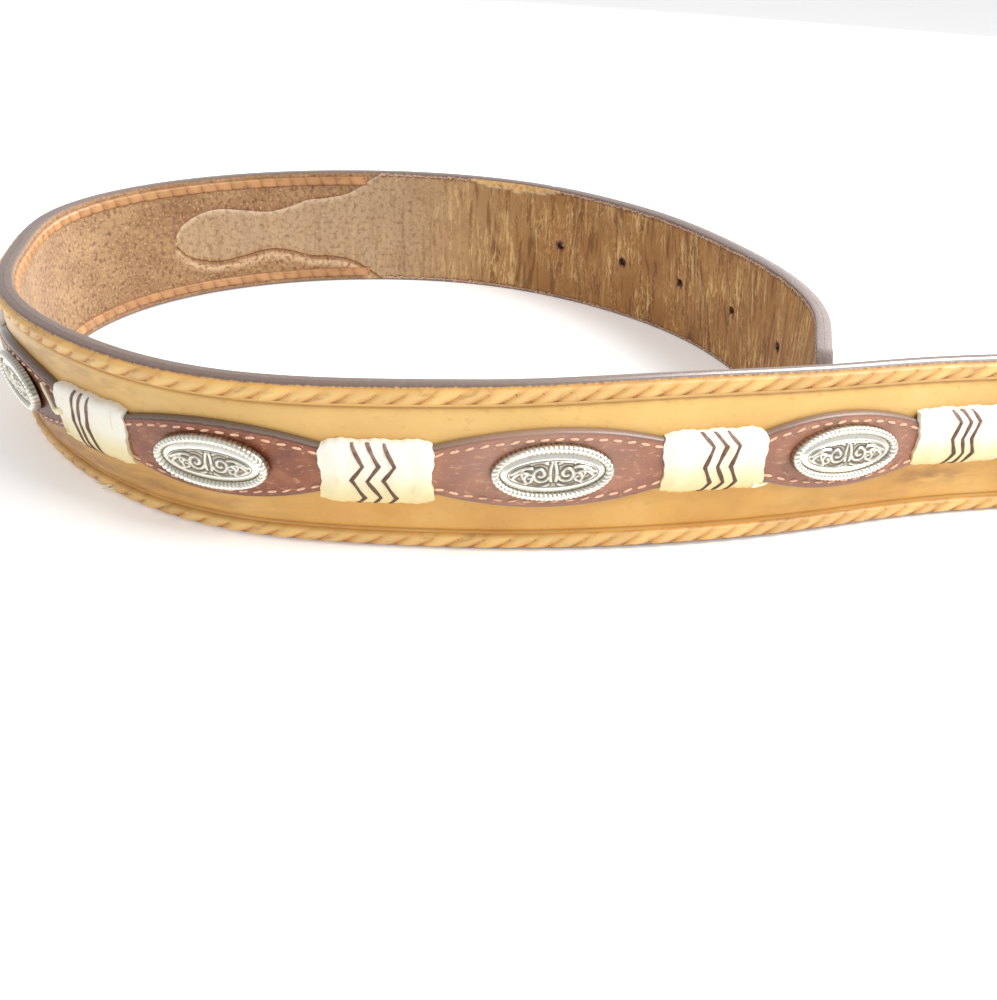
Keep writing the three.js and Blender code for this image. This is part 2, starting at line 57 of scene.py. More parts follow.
# %% The strap's line
STRAP_LENGTH = 1030.0
STRAP_HEIGHT = 38.0
MIDDLE = STRAP_HEIGHT / 2
BENDS = [
    (0.0, 216, 0), (0.12, 211, 0), (0.24, 203, 0), (0.35, 191, 0), (0.39, 199, -3),
    (0.43, 191, -6), (0.47, 182, 0), (0.51, 174, 5), (0.55, 147, 6), (0.59, 127, 6),
    (0.63, 103, 0), (0.67, 72, 5), (0.71, 40, 4), (0.75, 17, 3), (0.79, -2, 1),
    (0.83, -26, -2), (0.87, -45, -7), (0.91, -68, -9), (0.95, -88, -3), (0.975, -103, 1),
    (1.0, -98, 0),
]


def read_table(rows, value, column=1):
    """Cubic curve through a table. Between two rows it is the Hermite cubic whose slope at each row
    is the slope of the chord between that row's neighbours. Outside the table it stays level."""
    table = np.asarray(rows, float)
    x, y = table[:, 0], table[:, column]
    slope = np.empty(len(x))
    slope[1:-1] = (y[2:] - y[:-2]) / (x[2:] - x[:-2])
    slope[0] = (y[1] - y[0]) / (x[1] - x[0])
    slope[-1] = (y[-1] - y[-2]) / (x[-1] - x[-2])
    value = np.clip(value, x[0], x[-1])
    i = np.clip(np.searchsorted(x, value, side="right") - 1, 0, len(x) - 2)
    span = x[i + 1] - x[i]
    u = (value - x[i]) / span
    return (
        (2 * u**3 - 3 * u**2 + 1) * y[i]
        + (u**3 - 2 * u**2 + u) * span * slope[i]
        + (3 * u**2 - 2 * u**3) * y[i + 1]
        + (u**3 - u**2) * span * slope[i + 1]
    )


LINE_STEPS = 515
step_length = STRAP_LENGTH / LINE_STEPS
step_middles = (np.arange(LINE_STEPS) + 0.5) * step_length
step_heading = np.radians(read_table(BENDS, step_middles / STRAP_LENGTH, 1))
steps = np.stack([np.cos(step_heading), np.sin(step_heading)], 1) * step_length
BUCKLE_END = np.array([275.3553, 85.9935])
line = np.vstack([[0, 0], np.cumsum(steps, axis=0)]) + BUCKLE_END
line_stations = np.arange(LINE_STEPS + 1) * step_length
print("the strap's two ends stand", round(float(np.hypot(*(line[-1] - line[0])))), "mm apart")

# %% [markdown]
# ## From strap coordinates to space
# A place on the belt is a station along the strap, a height over its lower edge and a distance out
# from the plane between its two leathers. The function below puts whole arrays of such places into
# space. It is the only place where the belt is bent. A concho of the frame then tests it.

# %% Bend anything along the strap
EDGE_OUT = 1.85
LIFT = 4.2
LIFT_END = 0.33 * STRAP_LENGTH


def smooth(share):
    """An S curve from 0 to 1: 3 x squared less 2 x cubed."""
    return share**2 * (3 - 2 * share)


def belt_point(station, height, out):
    """Places in metres. The point on the ground line at that station, moved sideways by the height's
    lean and the distance out, and up by the height, the lean and the rise towards the buckle."""
    station, height, out = np.broadcast_arrays(station, height, out)
    heading = np.radians(read_table(BENDS, station / STRAP_LENGTH, 1))
    lean = np.radians(read_table(BENDS, station / STRAP_LENGTH, 2))
    inside = np.clip(station, 0, STRAP_LENGTH)
    past = station - inside
    ground_x = np.interp(inside, line_stations, line[:, 0]) + np.cos(heading) * past
    ground_y = np.interp(inside, line_stations, line[:, 1]) + np.sin(heading) * past
    lift = LIFT * (1 - smooth(np.clip(station / LIFT_END, 0, 1)))
    across = out * np.cos(lean) + height * np.sin(lean)
    up = height * np.cos(lean) - out * np.sin(lean) + abs(np.sin(lean)) * EDGE_OUT + lift
    x = ground_x - np.sin(heading) * across
    y = ground_y + np.cos(heading) * across
    return np.stack([x, y, up], -1) * MM


def place_rigid(local, station, height, out):
    """Local points in millimetres, carried unbent to a place on the belt. Local x runs back along
    the strap there, z is at right angles to it and to the strap's height, and y is across both."""
    origin = belt_point(station, height, out)
    x = belt_point(station - 1, height, out) - belt_point(station + 1, height, out)
    x = x / np.linalg.norm(x)
    z = np.cross(x, belt_point(station, height + 1, out) - origin)
    z = z / np.linalg.norm(z)
    return origin + (local * MM) @ np.stack([x, np.cross(z, x), z])


STRIP_LINE = 20.0
CONCHO_BACK, CONCHO_RISE = 4.55, 2.0
WRAPS = STRAP_LENGTH * np.array([
    0.1184, 0.1809, 0.2433, 0.3058, 0.3681, 0.425, 0.4921, 0.5534, 0.6154, 0.678, 0.74])
CONCHOS = STRAP_LENGTH * np.array([
    0.1496, 0.212, 0.2747, 0.337, 0.3964, 0.4582, 0.5237, 0.5839, 0.6466, 0.709])
seventh = belt_point(CONCHOS[6], STRIP_LINE, CONCHO_BACK + CONCHO_RISE / 2)
low, high = (np.array(corner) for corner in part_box("concho_7"))
print("concho 7 lies", round(1000 * float(abs(seventh - (low + high) / 2).max()), 2),
      "mm from its place in the frame")

# %% [markdown]
# ## Camera
# The camera was worked out from the strap's edges in the photograph: it stands about 12 cm over the
# table, looks down by 30 degrees and is turned a little to the side.

# %% Camera
FOCAL_PIXELS, IMAGE_HEIGHT, SENSOR = 1011.1, 1000, 36.0
PITCH, ROLL = 0.527755, 0.0395581
CAMERA_PLACE = np.array([-0.16418, -0.28064, 0.11797])

forward = np.array([0, np.cos(PITCH), -np.sin(PITCH)])
level_up = np.array([0, np.sin(PITCH), np.cos(PITCH)])
right = np.cos(ROLL) * np.array([1.0, 0, 0]) + np.sin(ROLL) * level_up
up = -np.sin(ROLL) * np.array([1.0, 0, 0]) + np.cos(ROLL) * level_up
pose = np.eye(4)
pose[:3, :3] = np.stack([right, up, -forward], 1)
pose[:3, 3] = CAMERA_PLACE

camera = bpy.data.objects.new("camera", bpy.data.cameras.new("camera"))
camera.data.sensor_width = SENSOR
camera.data.lens = SENSOR * FOCAL_PIXELS / IMAGE_HEIGHT
camera.data.clip_start = 0.01
camera.matrix_world = Matrix(pose.tolist())
scene = bpy.context.scene
scene.collection.objects.link(camera)
scene.camera = camera
print("camera lens", round(camera.data.lens, 1), "mm")

# %% [markdown]
# ## Surfaces from two grids
# Nearly every piece is a sheet with two sides. Its front and its back are two grids of points with
# the same rows and columns, and walls close every border. A mask leaves cells out, and the walls then
# also line the hole. Points that fall together are merged, so seams and tips close by themselves.

# %% A sheet with two sides
BACK_SHIFT = 2.0


def sheet(front, back, uv, kept=None, closed=False, flip=False, rim=0.0, tone=0.0):
    """Corners of all quads of a closed sheet. front and back: rows x columns x 3. uv: rows x columns
    x 2, and BACK_SHIFT further on the back, so that patterns run on over the walls. kept: which cells
    are there. closed: the last column is the first one again. flip: turns the columns round, for a
    front that would look inwards. rim and tone: two numbers a point that materials read, the
    distance from an edge and a given shade."""
    rows, columns = front.shape[:2]
    kept = np.ones((rows - 1, columns - 1), bool) if kept is None else kept
    way = -1 if flip else 1
    front, back, uv, kept = (grid[:, ::way] for grid in (front, back, uv, kept))
    near = np.arange(rows * columns).reshape(rows, columns)
    far = near + rows * columns
    quads = np.stack([near[:-1, :-1], near[1:, :-1], near[1:, 1:], near[:-1, 1:]], -1)[kept]
    parts = [quads, quads[:, ::-1] + rows * columns]
    fence = np.pad(kept, 1)
    if closed:
        fence[1:-1, 0], fence[1:-1, -1] = kept[:, -1], kept[:, 0]
    before, after = fence[1:-1, :-1], fence[1:-1, 1:]
    a, b, c, d = near[:-1], near[1:], far[1:], far[:-1]
    parts.append(np.stack([b, a, d, c], -1)[after & ~before])
    parts.append(np.stack([a, b, c, d], -1)[before & ~after])
    before, after = fence[:-1, 1:-1], fence[1:, 1:-1]
    a, b, c, d = near[:, :-1], near[:, 1:], far[:, 1:], far[:, :-1]
    parts.append(np.stack([a, b, c, d], -1)[after & ~before])
    parts.append(np.stack([b, a, d, c], -1)[before & ~after])
    corners = np.concatenate(parts)
    points = np.concatenate([front.reshape(-1, 3), back.reshape(-1, 3)])
    values = [np.broadcast_to(value, (rows, columns))[:, ::way].ravel() for value in (rim, tone)]
    rim, tone = (np.concatenate([part] * 2) for part in values)
    uv = uv.reshape(-1, 2)
    uv = np.concatenate([uv, uv + [0, BACK_SHIFT]])
    return points[corners], uv[corners], rim[corners], tone[corners]


def skin(tube, uv, tone=0.0):
    """Corners of a tube's skin. tube: rows x sides x 3, its last side the first one again. Each end
    is drawn together to its middle, so that it closes."""
    middle = tube[:, :-1].mean(1, keepdims=True)
    first = np.broadcast_to(middle[:1], tube[:1].shape)
    last = np.broadcast_to(middle[-1:], tube[:1].shape)
    tube = np.concatenate([first, tube, last])
    rows, columns = tube.shape[:2]
    uv = np.broadcast_to(uv, (rows - 2, columns, 2))
    uv = np.concatenate([uv[:1], uv, uv[-1:]]).reshape(-1, 2)
    tone = np.broadcast_to(tone, (rows - 2, columns))
    tone = np.concatenate([tone[:1], tone, tone[-1:]]).ravel()
    number = np.arange(rows * columns).reshape(rows, columns)
    corners = np.stack([number[:-1, :-1], number[1:, :-1], number[1:, 1:], number[:-1, 1:]], -1)
    corners = corners.reshape(-1, 4)
    return tube.reshape(-1, 3)[corners], uv[corners], np.zeros(corners.shape), tone[corners]


STEPS_PER_METRE = 1e7
triangle_counts = []


def add_piece(name, sheets, material, nodes=(), sharp=35):
    """One object from the corners of its sheets. Corners that share a place share a vertex, and a
    quad with two corners in one place becomes a triangle, or goes if it has no area. sharp: edges
    that turn by more degrees than this stay crisp."""
    places, uv, rim, tone = (np.concatenate(parts) for parts in zip(*sheets))
    whole = np.round(places.reshape(-1, 3) * STEPS_PER_METRE).astype(np.int64)
    _, first, number = np.unique(whole, axis=0, return_index=True, return_inverse=True)
    corner = number.reshape(-1, 4)
    fresh = corner != np.roll(corner, 1, axis=1)
    real = (fresh.sum(1) >= 3) & (corner[:, 0] != corner[:, 2]) & (corner[:, 1] != corner[:, 3])
    fresh &= real[:, None]
    sizes = fresh.sum(1)[real]
    mesh = bpy.data.meshes.new(name)
    mesh.vertices.add(len(first))
    mesh.vertices.foreach_set("co", places.reshape(-1, 3)[first].ravel())
    mesh.loops.add(int(sizes.sum()))
    mesh.loops.foreach_set("vertex_index", corner[fresh].astype(np.int32))
    mesh.polygons.add(len(sizes))
    mesh.polygons.foreach_set("loop_start", (np.cumsum(sizes) - sizes).astype(np.int32))
    mesh.update(calc_edges=True)
    mesh.uv_layers.new(name="strap").uv.foreach_set("vector", uv[fresh].ravel())
    for key, values in (("rim", rim), ("tone", tone)):
        mesh.attributes.new(key, "FLOAT", "CORNER").data.foreach_set("value", values[fresh])
    mesh.validate()
    mesh.shade_smooth()
    mesh.set_sharp_from_angle(angle=np.radians(sharp))
    mesh.materials.append(material)
    piece = bpy.data.objects.new(name, mesh)
    scene.collection.objects.link(piece)
    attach(piece, "root")
    if nodes:
        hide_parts(*nodes)
    triangles = int((sizes - 2).sum())
    triangle_counts.append(triangles)
    print(f"{name}: {len(mesh.vertices)} points, {triangles} triangles")


def lines(breaks, step):
    """Grid lines through the given places, with even cells of about one step between them."""
    places = []
    for low, high in zip(breaks[:-1], breaks[1:]):
        cells = max(int(round((high - low) / step)), 1)
        places.append(np.linspace(low, high, cells, endpoint=False))
    return np.append(np.concatenate(places), breaks[-1])


def strap_uv(station, height):
    """UV in millimetres of strap: along it and up it."""
    return np.stack(np.broadcast_arrays(station, height), -1)


def circle(sides):
    """Angles round a tube. The last one is the first one again."""
    return np.append(np.linspace(0, 2 * np.pi, sides + 1)[:-1], 0)


def unit(vectors):
    """The same directions, each of length 1."""
    return vectors / np.linalg.norm(vectors, axis=-1, keepdims=True)


def edge_drop(distance, radius):
    """How far a surface has dropped near its rim: a quarter circle of the given radius."""
    near = np.clip(1 - distance / radius, 0, 1)
    return radius * (1 - np.sqrt(1 - near**2))


def patches(station, height, places):
    """Soft spots at listed places: for each (station, height, half length, half height, strength) the
    strength times exp(-d squared), d being the distance measured in those half sizes."""
    total = 0.0
    for along, up, half_length, half_height, strength in places:
        reach = ((station - along) / half_length) ** 2 + ((height - up) / half_height) ** 2
        total = total + strength * np.exp(-reach)
    return total


# %% [markdown]
# ## Materials
# Colours are written as the hex values that a screen shows, and one function turns them to the
# linear numbers that Blender mixes. One more function adds a node with its settings and its links.
# Patterns are drawn in the strap's own millimetres, so they follow every bend.

# %% Colour and node helpers
def linear(code, alpha=1.0):
    """sRGB hex to linear: a dark channel c / 12.92, a lighter one ((c + 0.055) / 1.055) ** 2.4."""
    channels = np.array([int(code[i:i + 2], 16) for i in (1, 3, 5)]) / 255
    light = np.where(channels <= 0.04045, channels / 12.92, ((channels + 0.055) / 1.055) ** 2.4)
    return (*light.tolist(), alpha)


def add(tree, kind, inputs=None, stops=(), **settings):
    """Adds a node. inputs: a socket links, a hex text sets a colour, anything else sets the value.
    stops fills a colour ramp with (place, hex) or (place, hex, alpha). settings are the node's own
    properties."""
    node = tree.nodes.new(kind)
    for key, value in settings.items():
        setattr(node, key, value)
    for key, value in (inputs or {}).items():
        if isinstance(value, bpy.types.NodeSocket):
            tree.links.new(value, node.inputs[key])
        else:
            node.inputs[key].default_value = linear(value) if isinstance(value, str) else value
    for index, (place, *colour) in enumerate(stops):
        elements = node.color_ramp.elements
        element = elements[index] if index < 2 else elements.new(place)
        element.position = place
        element.color = linear(*colour)
    return node


def new_material(name, roughness, metallic=0.0, coat=0.0, sheen=0.0):
    """A material and its node tree. Constants are set on the Principled shader's own sockets."""
    material = bpy.data.materials.new(name)
    material.use_nodes = True
    shader = material.node_tree.nodes["Principled BSDF"]
    shader.inputs["Roughness"].default_value = roughness
    shader.inputs["Metallic"].default_value = metallic
    shader.inputs["Coat Weight"].default_value = coat
    shader.inputs["Coat Roughness"].default_value = 0.25
    shader.inputs["Sheen Weight"].default_value = sheen
    return material, material.node_tree


def strap_noise(tree, stretch, low, high, detail=4.0, twist=0.0):
    """A mask from noise on the strap: stretch gives the noise's repeats in a millimetre along and up
    the strap, noise values from low to high become 0 to 1, and twist makes its lines wavy."""
    uv = add(tree, "ShaderNodeUVMap", uv_map="strap").outputs["UV"]
    mapped = add(tree, "ShaderNodeMapping", {"Vector": uv, "Scale": (*stretch, 1.0)})
    noise = add(tree, "ShaderNodeTexNoise", {
        "Vector": mapped.outputs["Vector"], "Scale": 1.0, "Detail": detail, "Distortion": twist})
    mask = add(tree, "ShaderNodeMapRange",
               {"Value": noise.outputs["Fac"], "From Min": low, "From Max": high})
    return mask.outputs["Result"]


def lay(tree, below, colour, *masks):
    """Lays a colour over the colour below it, by the product of the masks, and shows the result."""
    cover = masks[0]
    for mask in masks[1:]:
        cover = add(tree, "ShaderNodeMath", {0: cover, 1: mask}, operation="MULTIPLY").outputs[0]
    mixed = add(tree, "ShaderNodeMix", {0: cover, 6: below, 7: colour}, data_type="RGBA")
    tree.links.new(mixed.outputs[2], tree.nodes["Principled BSDF"].inputs["Base Color"])
    return mixed.outputs[2]


BAND_REACH = 4.0


def edge_band(tree, below, raggedness, stops):
    """A worn band along the edges. The ramp reads the distance from the edge as a share of
    BAND_REACH, moved in and out by noise of the given size in millimetres. Its alpha is how much of
    it covers."""
    rim = add(tree, "ShaderNodeAttribute", attribute_name="rim").outputs["Fac"]
    rough = strap_noise(tree, (0.9, 0.9), 0.3, 0.7)
    shift = add(tree, "ShaderNodeMath", {0: rough, 1: raggedness, 2: -raggedness / 2},
                operation="MULTIPLY_ADD").outputs[0]
    ragged = add(tree, "ShaderNodeMath", {0: rim, 1: shift}, operation="ADD").outputs[0]
    share = add(tree, "ShaderNodeMath", {0: ragged, 1: 1 / BAND_REACH}, operation="MULTIPLY").outputs[0]
    band = add(tree, "ShaderNodeValToRGB", {"Fac": share}, stops)
    return lay(tree, below, band.outputs["Color"], band.outputs["Alpha"])


def grain(tree, scale, strength, depth):
    """Bumps from noise with the given repeats in a millimetre. depth is in metres."""
    height = strap_noise(tree, (scale, scale), 0.0, 1.0, 3.0)
    bump = add(tree, "ShaderNodeBump", {"Height": height, "Strength": strength, "Distance": depth})
    tree.links.new(bump.outputs["Normal"], tree.nodes["Principled BSDF"].inputs["Normal"])


# %% [markdown]
# ## Golden cowhide
# The outer leather is smooth, waxed cowhide. Its wax gives a soft shine, handling leaves brown
# smudges, and one darker patch under a wrap is a painted shadow. The field is painted lighter towards
# its top, as light from above would make it, and the tooled border has a dark crease beside it. The
# cut edge is burnished: rubbed until its fibres lie down, it turns grey-brown and glossy.

# %% Golden cowhide
golden, tree = new_material("golden_waxed_cowhide", 0.42, coat=0.3)
clouds = strap_noise(tree, (0.05, 0.07), 0.3, 0.7, 5.0)
colour = add(tree, "ShaderNodeValToRGB", {"Fac": clouds},
             [(0.0, "#C8903C"), (0.5, "#D6A04A"), (1.0, "#DEAE60")]).outputs["Color"]
uv = add(tree, "ShaderNodeUVMap", uv_map="strap").outputs["UV"]
height = add(tree, "ShaderNodeSeparateXYZ", {0: uv}).outputs["Y"]
# Painted light: the field is laid lighter towards its top, as light from above would make it.
painted_top_light = add(tree, "ShaderNodeMapRange",
            {"Value": height, "From Min": 18.0, "From Max": 34.0, "To Max": 0.5}).outputs["Result"]
colour = lay(tree, colour, "#F4D488", painted_top_light)
tone = add(tree, "ShaderNodeAttribute", attribute_name="tone").outputs["Fac"]
# Brown smudges, and a painted shadow under the fifth wrap, laid where the tone attribute is high.
colour = lay(tree, colour, "#97682C", tone,
             strap_noise(tree, (0.12, 0.45), 0.3, 0.7, 9.0, 0.6))
colour = lay(tree, colour, "#C4903F", strap_noise(tree, (0.5, 0.6), 0.58, 0.95, 8.0))
from_middle = add(tree, "ShaderNodeMath", {0: height, 1: -MIDDLE}, operation="ADD").outputs[0]
from_middle = add(tree, "ShaderNodeMath", {0: from_middle}, operation="ABSOLUTE").outputs[0]
crease = add(tree, "ShaderNodeValToRGB", {
    "Fac": add(tree, "ShaderNodeMapRange",
               {"Value": from_middle, "From Min": 13.0, "From Max": 15.0}).outputs["Result"],
}, [(0.45, "#A87034", 0.0), (0.62, "#A87034", 0.55), (0.7, "#A87034", 0.55), (0.95, "#B57C3A", 0.0)])
colour = lay(tree, colour, crease.outputs["Color"], crease.outputs["Alpha"])
edge_band(tree, colour, 0.4, [
    (0.0, "#6E5A50", 1.0), (0.07, "#7C675C", 1.0), (0.11, "#B98A55", 0.7), (0.2, "#D9A95A", 0.0)])
grain(tree, 2.2, 0.25, 0.0002)

# %% [markdown]
# ## Suede, worn billet leather and chestnut leather
# The lining is suede: the raised fibres scatter light, so it is fully rough with a little sheen, and
# its tufts are dark and light. The billets are the same suede worn smooth and dark at the end, where
# hundreds of bends have cracked it across. The strip's chestnut leather is tighter and shinier.

# %% Sueded lining
def suede_nap(tree, below, cover):
    """The nap: raised fibres in dark and light tufts of all sizes. cover: how much of it shows."""
    colour = lay(tree, below, "#6B462D",
                 strap_noise(tree, (0.7, 0.7), 0.52, 0.28, 10.0, 0.3), cover)
    return lay(tree, colour, "#CDA77A",
               strap_noise(tree, (1.1, 1.1), 0.54, 0.76, 10.0, 0.3), cover)


suede, tree = new_material("sueded_cowhide", 0.95, sheen=0.15)
colour = add(tree, "ShaderNodeValToRGB", {"Fac": strap_noise(tree, (0.06, 0.09), 0.3, 0.7, 9.0)},
             [(0.0, "#8E6A49"), (1.0, "#AC8A62")]).outputs["Color"]
# Painted light and shade along the tongue's edge, from the tone attribute: paler where tone is above 0,
# darker where it is below 0.
tone = add(tree, "ShaderNodeAttribute", attribute_name="tone").outputs["Fac"]
dark = add(tree, "ShaderNodeMapRange", {"Value": tone, "From Min": 0.0, "From Max": -1.0})
colour = lay(tree, colour, "#E2C29C", tone)
colour = lay(tree, colour, "#8A5F40", dark.outputs["Result"])
colour = suede_nap(tree, colour, 1.0)
edge_band(tree, colour, 0.7, [
    (0.0, "#77665C", 1.0), (0.12, "#84736A", 1.0), (0.17, "#A8845F", 0.5), (0.28, "#B08A68", 0.0)])
grain(tree, 1.6, 0.7, 0.0003)

# %% Worn billet leather
billet, tree = new_material("cracked_vegetable_tanned_leather", 0.7, coat=0.03)
tone = add(tree, "ShaderNodeAttribute", attribute_name="tone").outputs["Fac"]
share = add(tree, "ShaderNodeMapRange", {"Value": tone, "From Min": -1.0, "From Max": 3.0})
# The second stop is a painted highlight for the tongue's upper rim, and the last, dark stop is painted
# shade at the holes.
colour = add(tree, "ShaderNodeValToRGB", {"Fac": share.outputs["Result"]}, [
    (0.0, "#E2B878"), (0.15, "#CFB598"), (0.25, "#B09474"), (0.37, "#AD895D"), (0.5, "#A1713A"),
    (0.75, "#8B4A38"), (1.0, "#3E3028")]).outputs["Color"]
nap = add(tree, "ShaderNodeMapRange",
          {"Value": tone, "From Min": 0.1, "From Max": 0.7, "To Min": 0.7, "To Max": 0.0})
colour = suede_nap(tree, colour, nap.outputs["Result"])
colour = lay(tree, colour, "#7A4F25", strap_noise(tree, (0.1, 0.08), 0.5, 0.8, 8.0),
             share.outputs["Result"])
worn = add(tree, "ShaderNodeMapRange",
           {"Value": tone, "From Min": -0.1, "From Max": 0.7, "To Min": 0.1, "To Max": 0.85})
bent = strap_noise(tree, (0.4, 0.05), 0.5, 0.38, 8.0, 1.2)
colour = lay(tree, colour, "#75491F", bent, worn.outputs["Result"])
rubbed = strap_noise(tree, (0.11, 0.06), 0.38, 0.62, 6.0)
fine = strap_noise(tree, (1.6, 0.6), 0.48, 0.7, 10.0, 0.8)
colour = lay(tree, colour, "#D6B170", fine, worn.outputs["Result"], rubbed)
cracks = strap_noise(tree, (0.6, 0.07), 0.53, 0.62, 9.0, 1.4)
colour = lay(tree, colour, "#E0BE84", cracks, worn.outputs["Result"], rubbed)
edge_band(tree, colour, 1.1, [
    (0.0, "#766660", 1.0), (0.15, "#84736C", 1.0), (0.19, "#CDA98A", 0.9), (0.27, "#CDA98A", 0.8),
    (0.31, "#53331D", 0.85), (0.48, "#7A5230", 0.0)])
grain(tree, 1.3, 0.6, 0.0003)

# %% Chestnut leather
chestnut, tree = new_material("chestnut_bridle_leather", 0.42, coat=0.4)
colour = add(tree, "ShaderNodeValToRGB", {"Fac": strap_noise(tree, (0.15, 0.2), 0.3, 0.7, 6.0)},
             [(0.0, "#723A20"), (0.5, "#894928"), (1.0, "#A2613A")]).outputs["Color"]
colour = lay(tree, colour, "#CB9468",
             strap_noise(tree, (0.5, 1.2), 0.57, 0.75, 8.0, 0.8))
colour = lay(tree, colour, "#5E3024", strap_noise(tree, (1.2, 0.5), 0.6, 0.8, 5.0))
uv = add(tree, "ShaderNodeUVMap", uv_map="strap").outputs["UV"]
station = add(tree, "ShaderNodeSeparateXYZ", {0: uv}).outputs["X"]
# Painted shade: from station 548 on, the strip is laid darker, as less light falls there.
painted_shade_ramp = add(tree, "ShaderNodeMapRange",
              {"Value": station, "From Min": 548.0, "From Max": 580.0, "To Max": 0.6})
colour = lay(tree, colour, "#4A2818", painted_shade_ramp.outputs["Result"])
colour = edge_band(tree, colour, 0.25, [
    (0.0, "#6C5D52", 1.0), (0.1, "#7C6C62", 1.0), (0.15, "#4E2F22", 0.9), (0.26, "#7F4331", 0.0)])
# Painted sheen, where the tone attribute is high.
tone = add(tree, "ShaderNodeAttribute", attribute_name="tone").outputs["Fac"]
lay(tree, colour, "#CFA690", tone)
grain(tree, 1.2, 0.35, 0.0002)

# %% [markdown]
# ## Lace, rawhide and thread
# The lace is the same golden cowhide cut narrow, with painted shade where its turns meet and a
# painted highlight on their crests. Rawhide is dried, not tanned, so it is cream, hard and faintly
# shiny; its colour is painted yellower towards the bottom and paler towards the top, where the light
# falls.

# %% Lace, rawhide and thread
def lace_leather(name, painted_gap_shade, turn, crest):
    """Lace whose rim value is the height of its turns: painted shade in the gaps and a painted
    highlight on the crests, with a shade of its own for every turn."""
    material, tree = new_material(name, 0.45, coat=0.12)
    uv = add(tree, "ShaderNodeUVMap", uv_map="strap").outputs["UV"]
    level = add(tree, "ShaderNodeAttribute", attribute_name="rim").outputs["Fac"]
    colour = add(tree, "ShaderNodeValToRGB", {"Fac": level}, [
        (0.0, painted_gap_shade), (0.22, painted_gap_shade), (0.5, turn), (1.0, crest)]).outputs["Color"]
    turns = add(tree, "ShaderNodeVectorMath", {0: uv}, operation="FLOOR").outputs["Vector"]
    across = add(tree, "ShaderNodeSeparateXYZ", {0: turns}).outputs["X"]
    shade = add(tree, "ShaderNodeTexWhiteNoise", {"W": across}, noise_dimensions="1D")
    faint = add(tree, "ShaderNodeMath", {0: shade.outputs["Value"], 1: 0.28}, operation="MULTIPLY")
    colour = lay(tree, colour, painted_gap_shade, faint.outputs[0])
    lay(tree, colour, painted_gap_shade, strap_noise(tree, (2.0, 2.0), 0.55, 0.9, 6.0))
    return material


face_lace = lace_leather("golden_lace", "#8A5026", "#DAA152", "#EDC47A")
lining_lace = lace_leather("tan_lace", "#6E4024", "#AC7A4C", "#C29260")

rawhide, tree = new_material("dried_rawhide", 0.42, coat=0.15)
# Painted light: tone is the share of the wrap's height, so the rawhide is yellower at the bottom and
# paler towards the top, where the light falls.
tone = add(tree, "ShaderNodeAttribute", attribute_name="tone").outputs["Fac"]
colour = add(tree, "ShaderNodeValToRGB", {"Fac": tone}, [
    (0.0, "#E3CD8E"), (0.3, "#F0E3B4"), (0.55, "#F7F2DE"), (1.0, "#F8F5EA")]).outputs["Color"]
lay(tree, colour, "#D9BE84", strap_noise(tree, (0.5, 0.15), 0.6, 0.85, 6.0))
grain(tree, 0.8, 0.35, 0.0003)

thread, tree = new_material("waxed_linen_thread", 0.6)
lay(tree, "#E3AE8C", "#F2CDAE", strap_noise(tree, (1.2, 1.2), 0.35, 0.65))

sinew, tree = new_material("brown_sinew", 0.55)
# Painted light: the sinew is darker at the bottom of the wrap and lighter towards its top.
tone = add(tree, "ShaderNodeAttribute", attribute_name="tone").outputs["Fac"]
colour = add(tree, "ShaderNodeValToRGB", {"Fac": tone}, [
    (0.0, "#5A3C2A"), (0.6, "#75543F"), (1.0, "#9A7F70")]).outputs["Color"]
lay(tree, colour, "#4A3020", strap_noise(tree, (0.8, 0.8), 0.45, 0.75, 6.0))

# %% [markdown]
# ## Nickel silver and steel
# Both are metals, so their colour lies in the reflection. The conchos are antiqued: a dark finish
# was put on and polished off the high places. The rim value is the height of the relief.

# %% Nickel silver and steel
silver, tree = new_material("antiqued_nickel_silver", 0.3, metallic=1.0)
level = add(tree, "ShaderNodeAttribute", attribute_name="rim").outputs["Fac"]
colour = add(tree, "ShaderNodeValToRGB", {"Fac": level}, [
    (0.0, "#574F44"), (0.25, "#948C7E"), (0.6, "#DCD7C9"), (1.0, "#FBF9F0")]).outputs["Color"]
lay(tree, colour, "#A79F8F", strap_noise(tree, (0.9, 0.9), 0.58, 0.9, 6.0))

steel, tree = new_material("brushed_steel", 0.28, metallic=1.0)
lay(tree, "#C6C6C4", "#A9A9A8", strap_noise(tree, (0.15, 2.5), 0.4, 0.7))
print(len(bpy.data.materials), "materials")

# %% [markdown]
# ## Scalloped ends
# Each leather end of the strap finishes in a scalloped tongue. The golden leather and the lining are
# cut out round it. One table gives half the tongue's height from its tip to where it fills the strap.

# %% The scallop
SCALLOP = [
    (0.0, 0.1), (0.03, 0.24), (0.1, 0.38), (0.2, 0.46), (0.32, 0.41), (0.45, 0.34),
    (0.55, 0.4), (0.64, 0.51), (0.74, 0.54), (0.84, 0.62), (0.93, 0.82), (1.0, 1.0),
]
TIP_INSIDE = (0.7025, 0.773)
TIP_OUTSIDE = (0.774, 0.833)
BUCKLE_INSIDE = (0.19, 0.12)
BUCKLE_OUTSIDE = (0.098, 0.04)
CUT_GAP = 0.03
SEAM = 0.02
FACE_ROUNDING, LINING_ROUNDING = 0.6, 0.5
BORDER = 4.7
CROWN = 0.6


def scallop_half(end, station):
    """Half the tongue's height, from the table read along the way from its tip to its full height."""
    tip, full = end
    return read_table(SCALLOP, (station / STRAP_LENGTH - tip) / (full - tip)) * MIDDLE


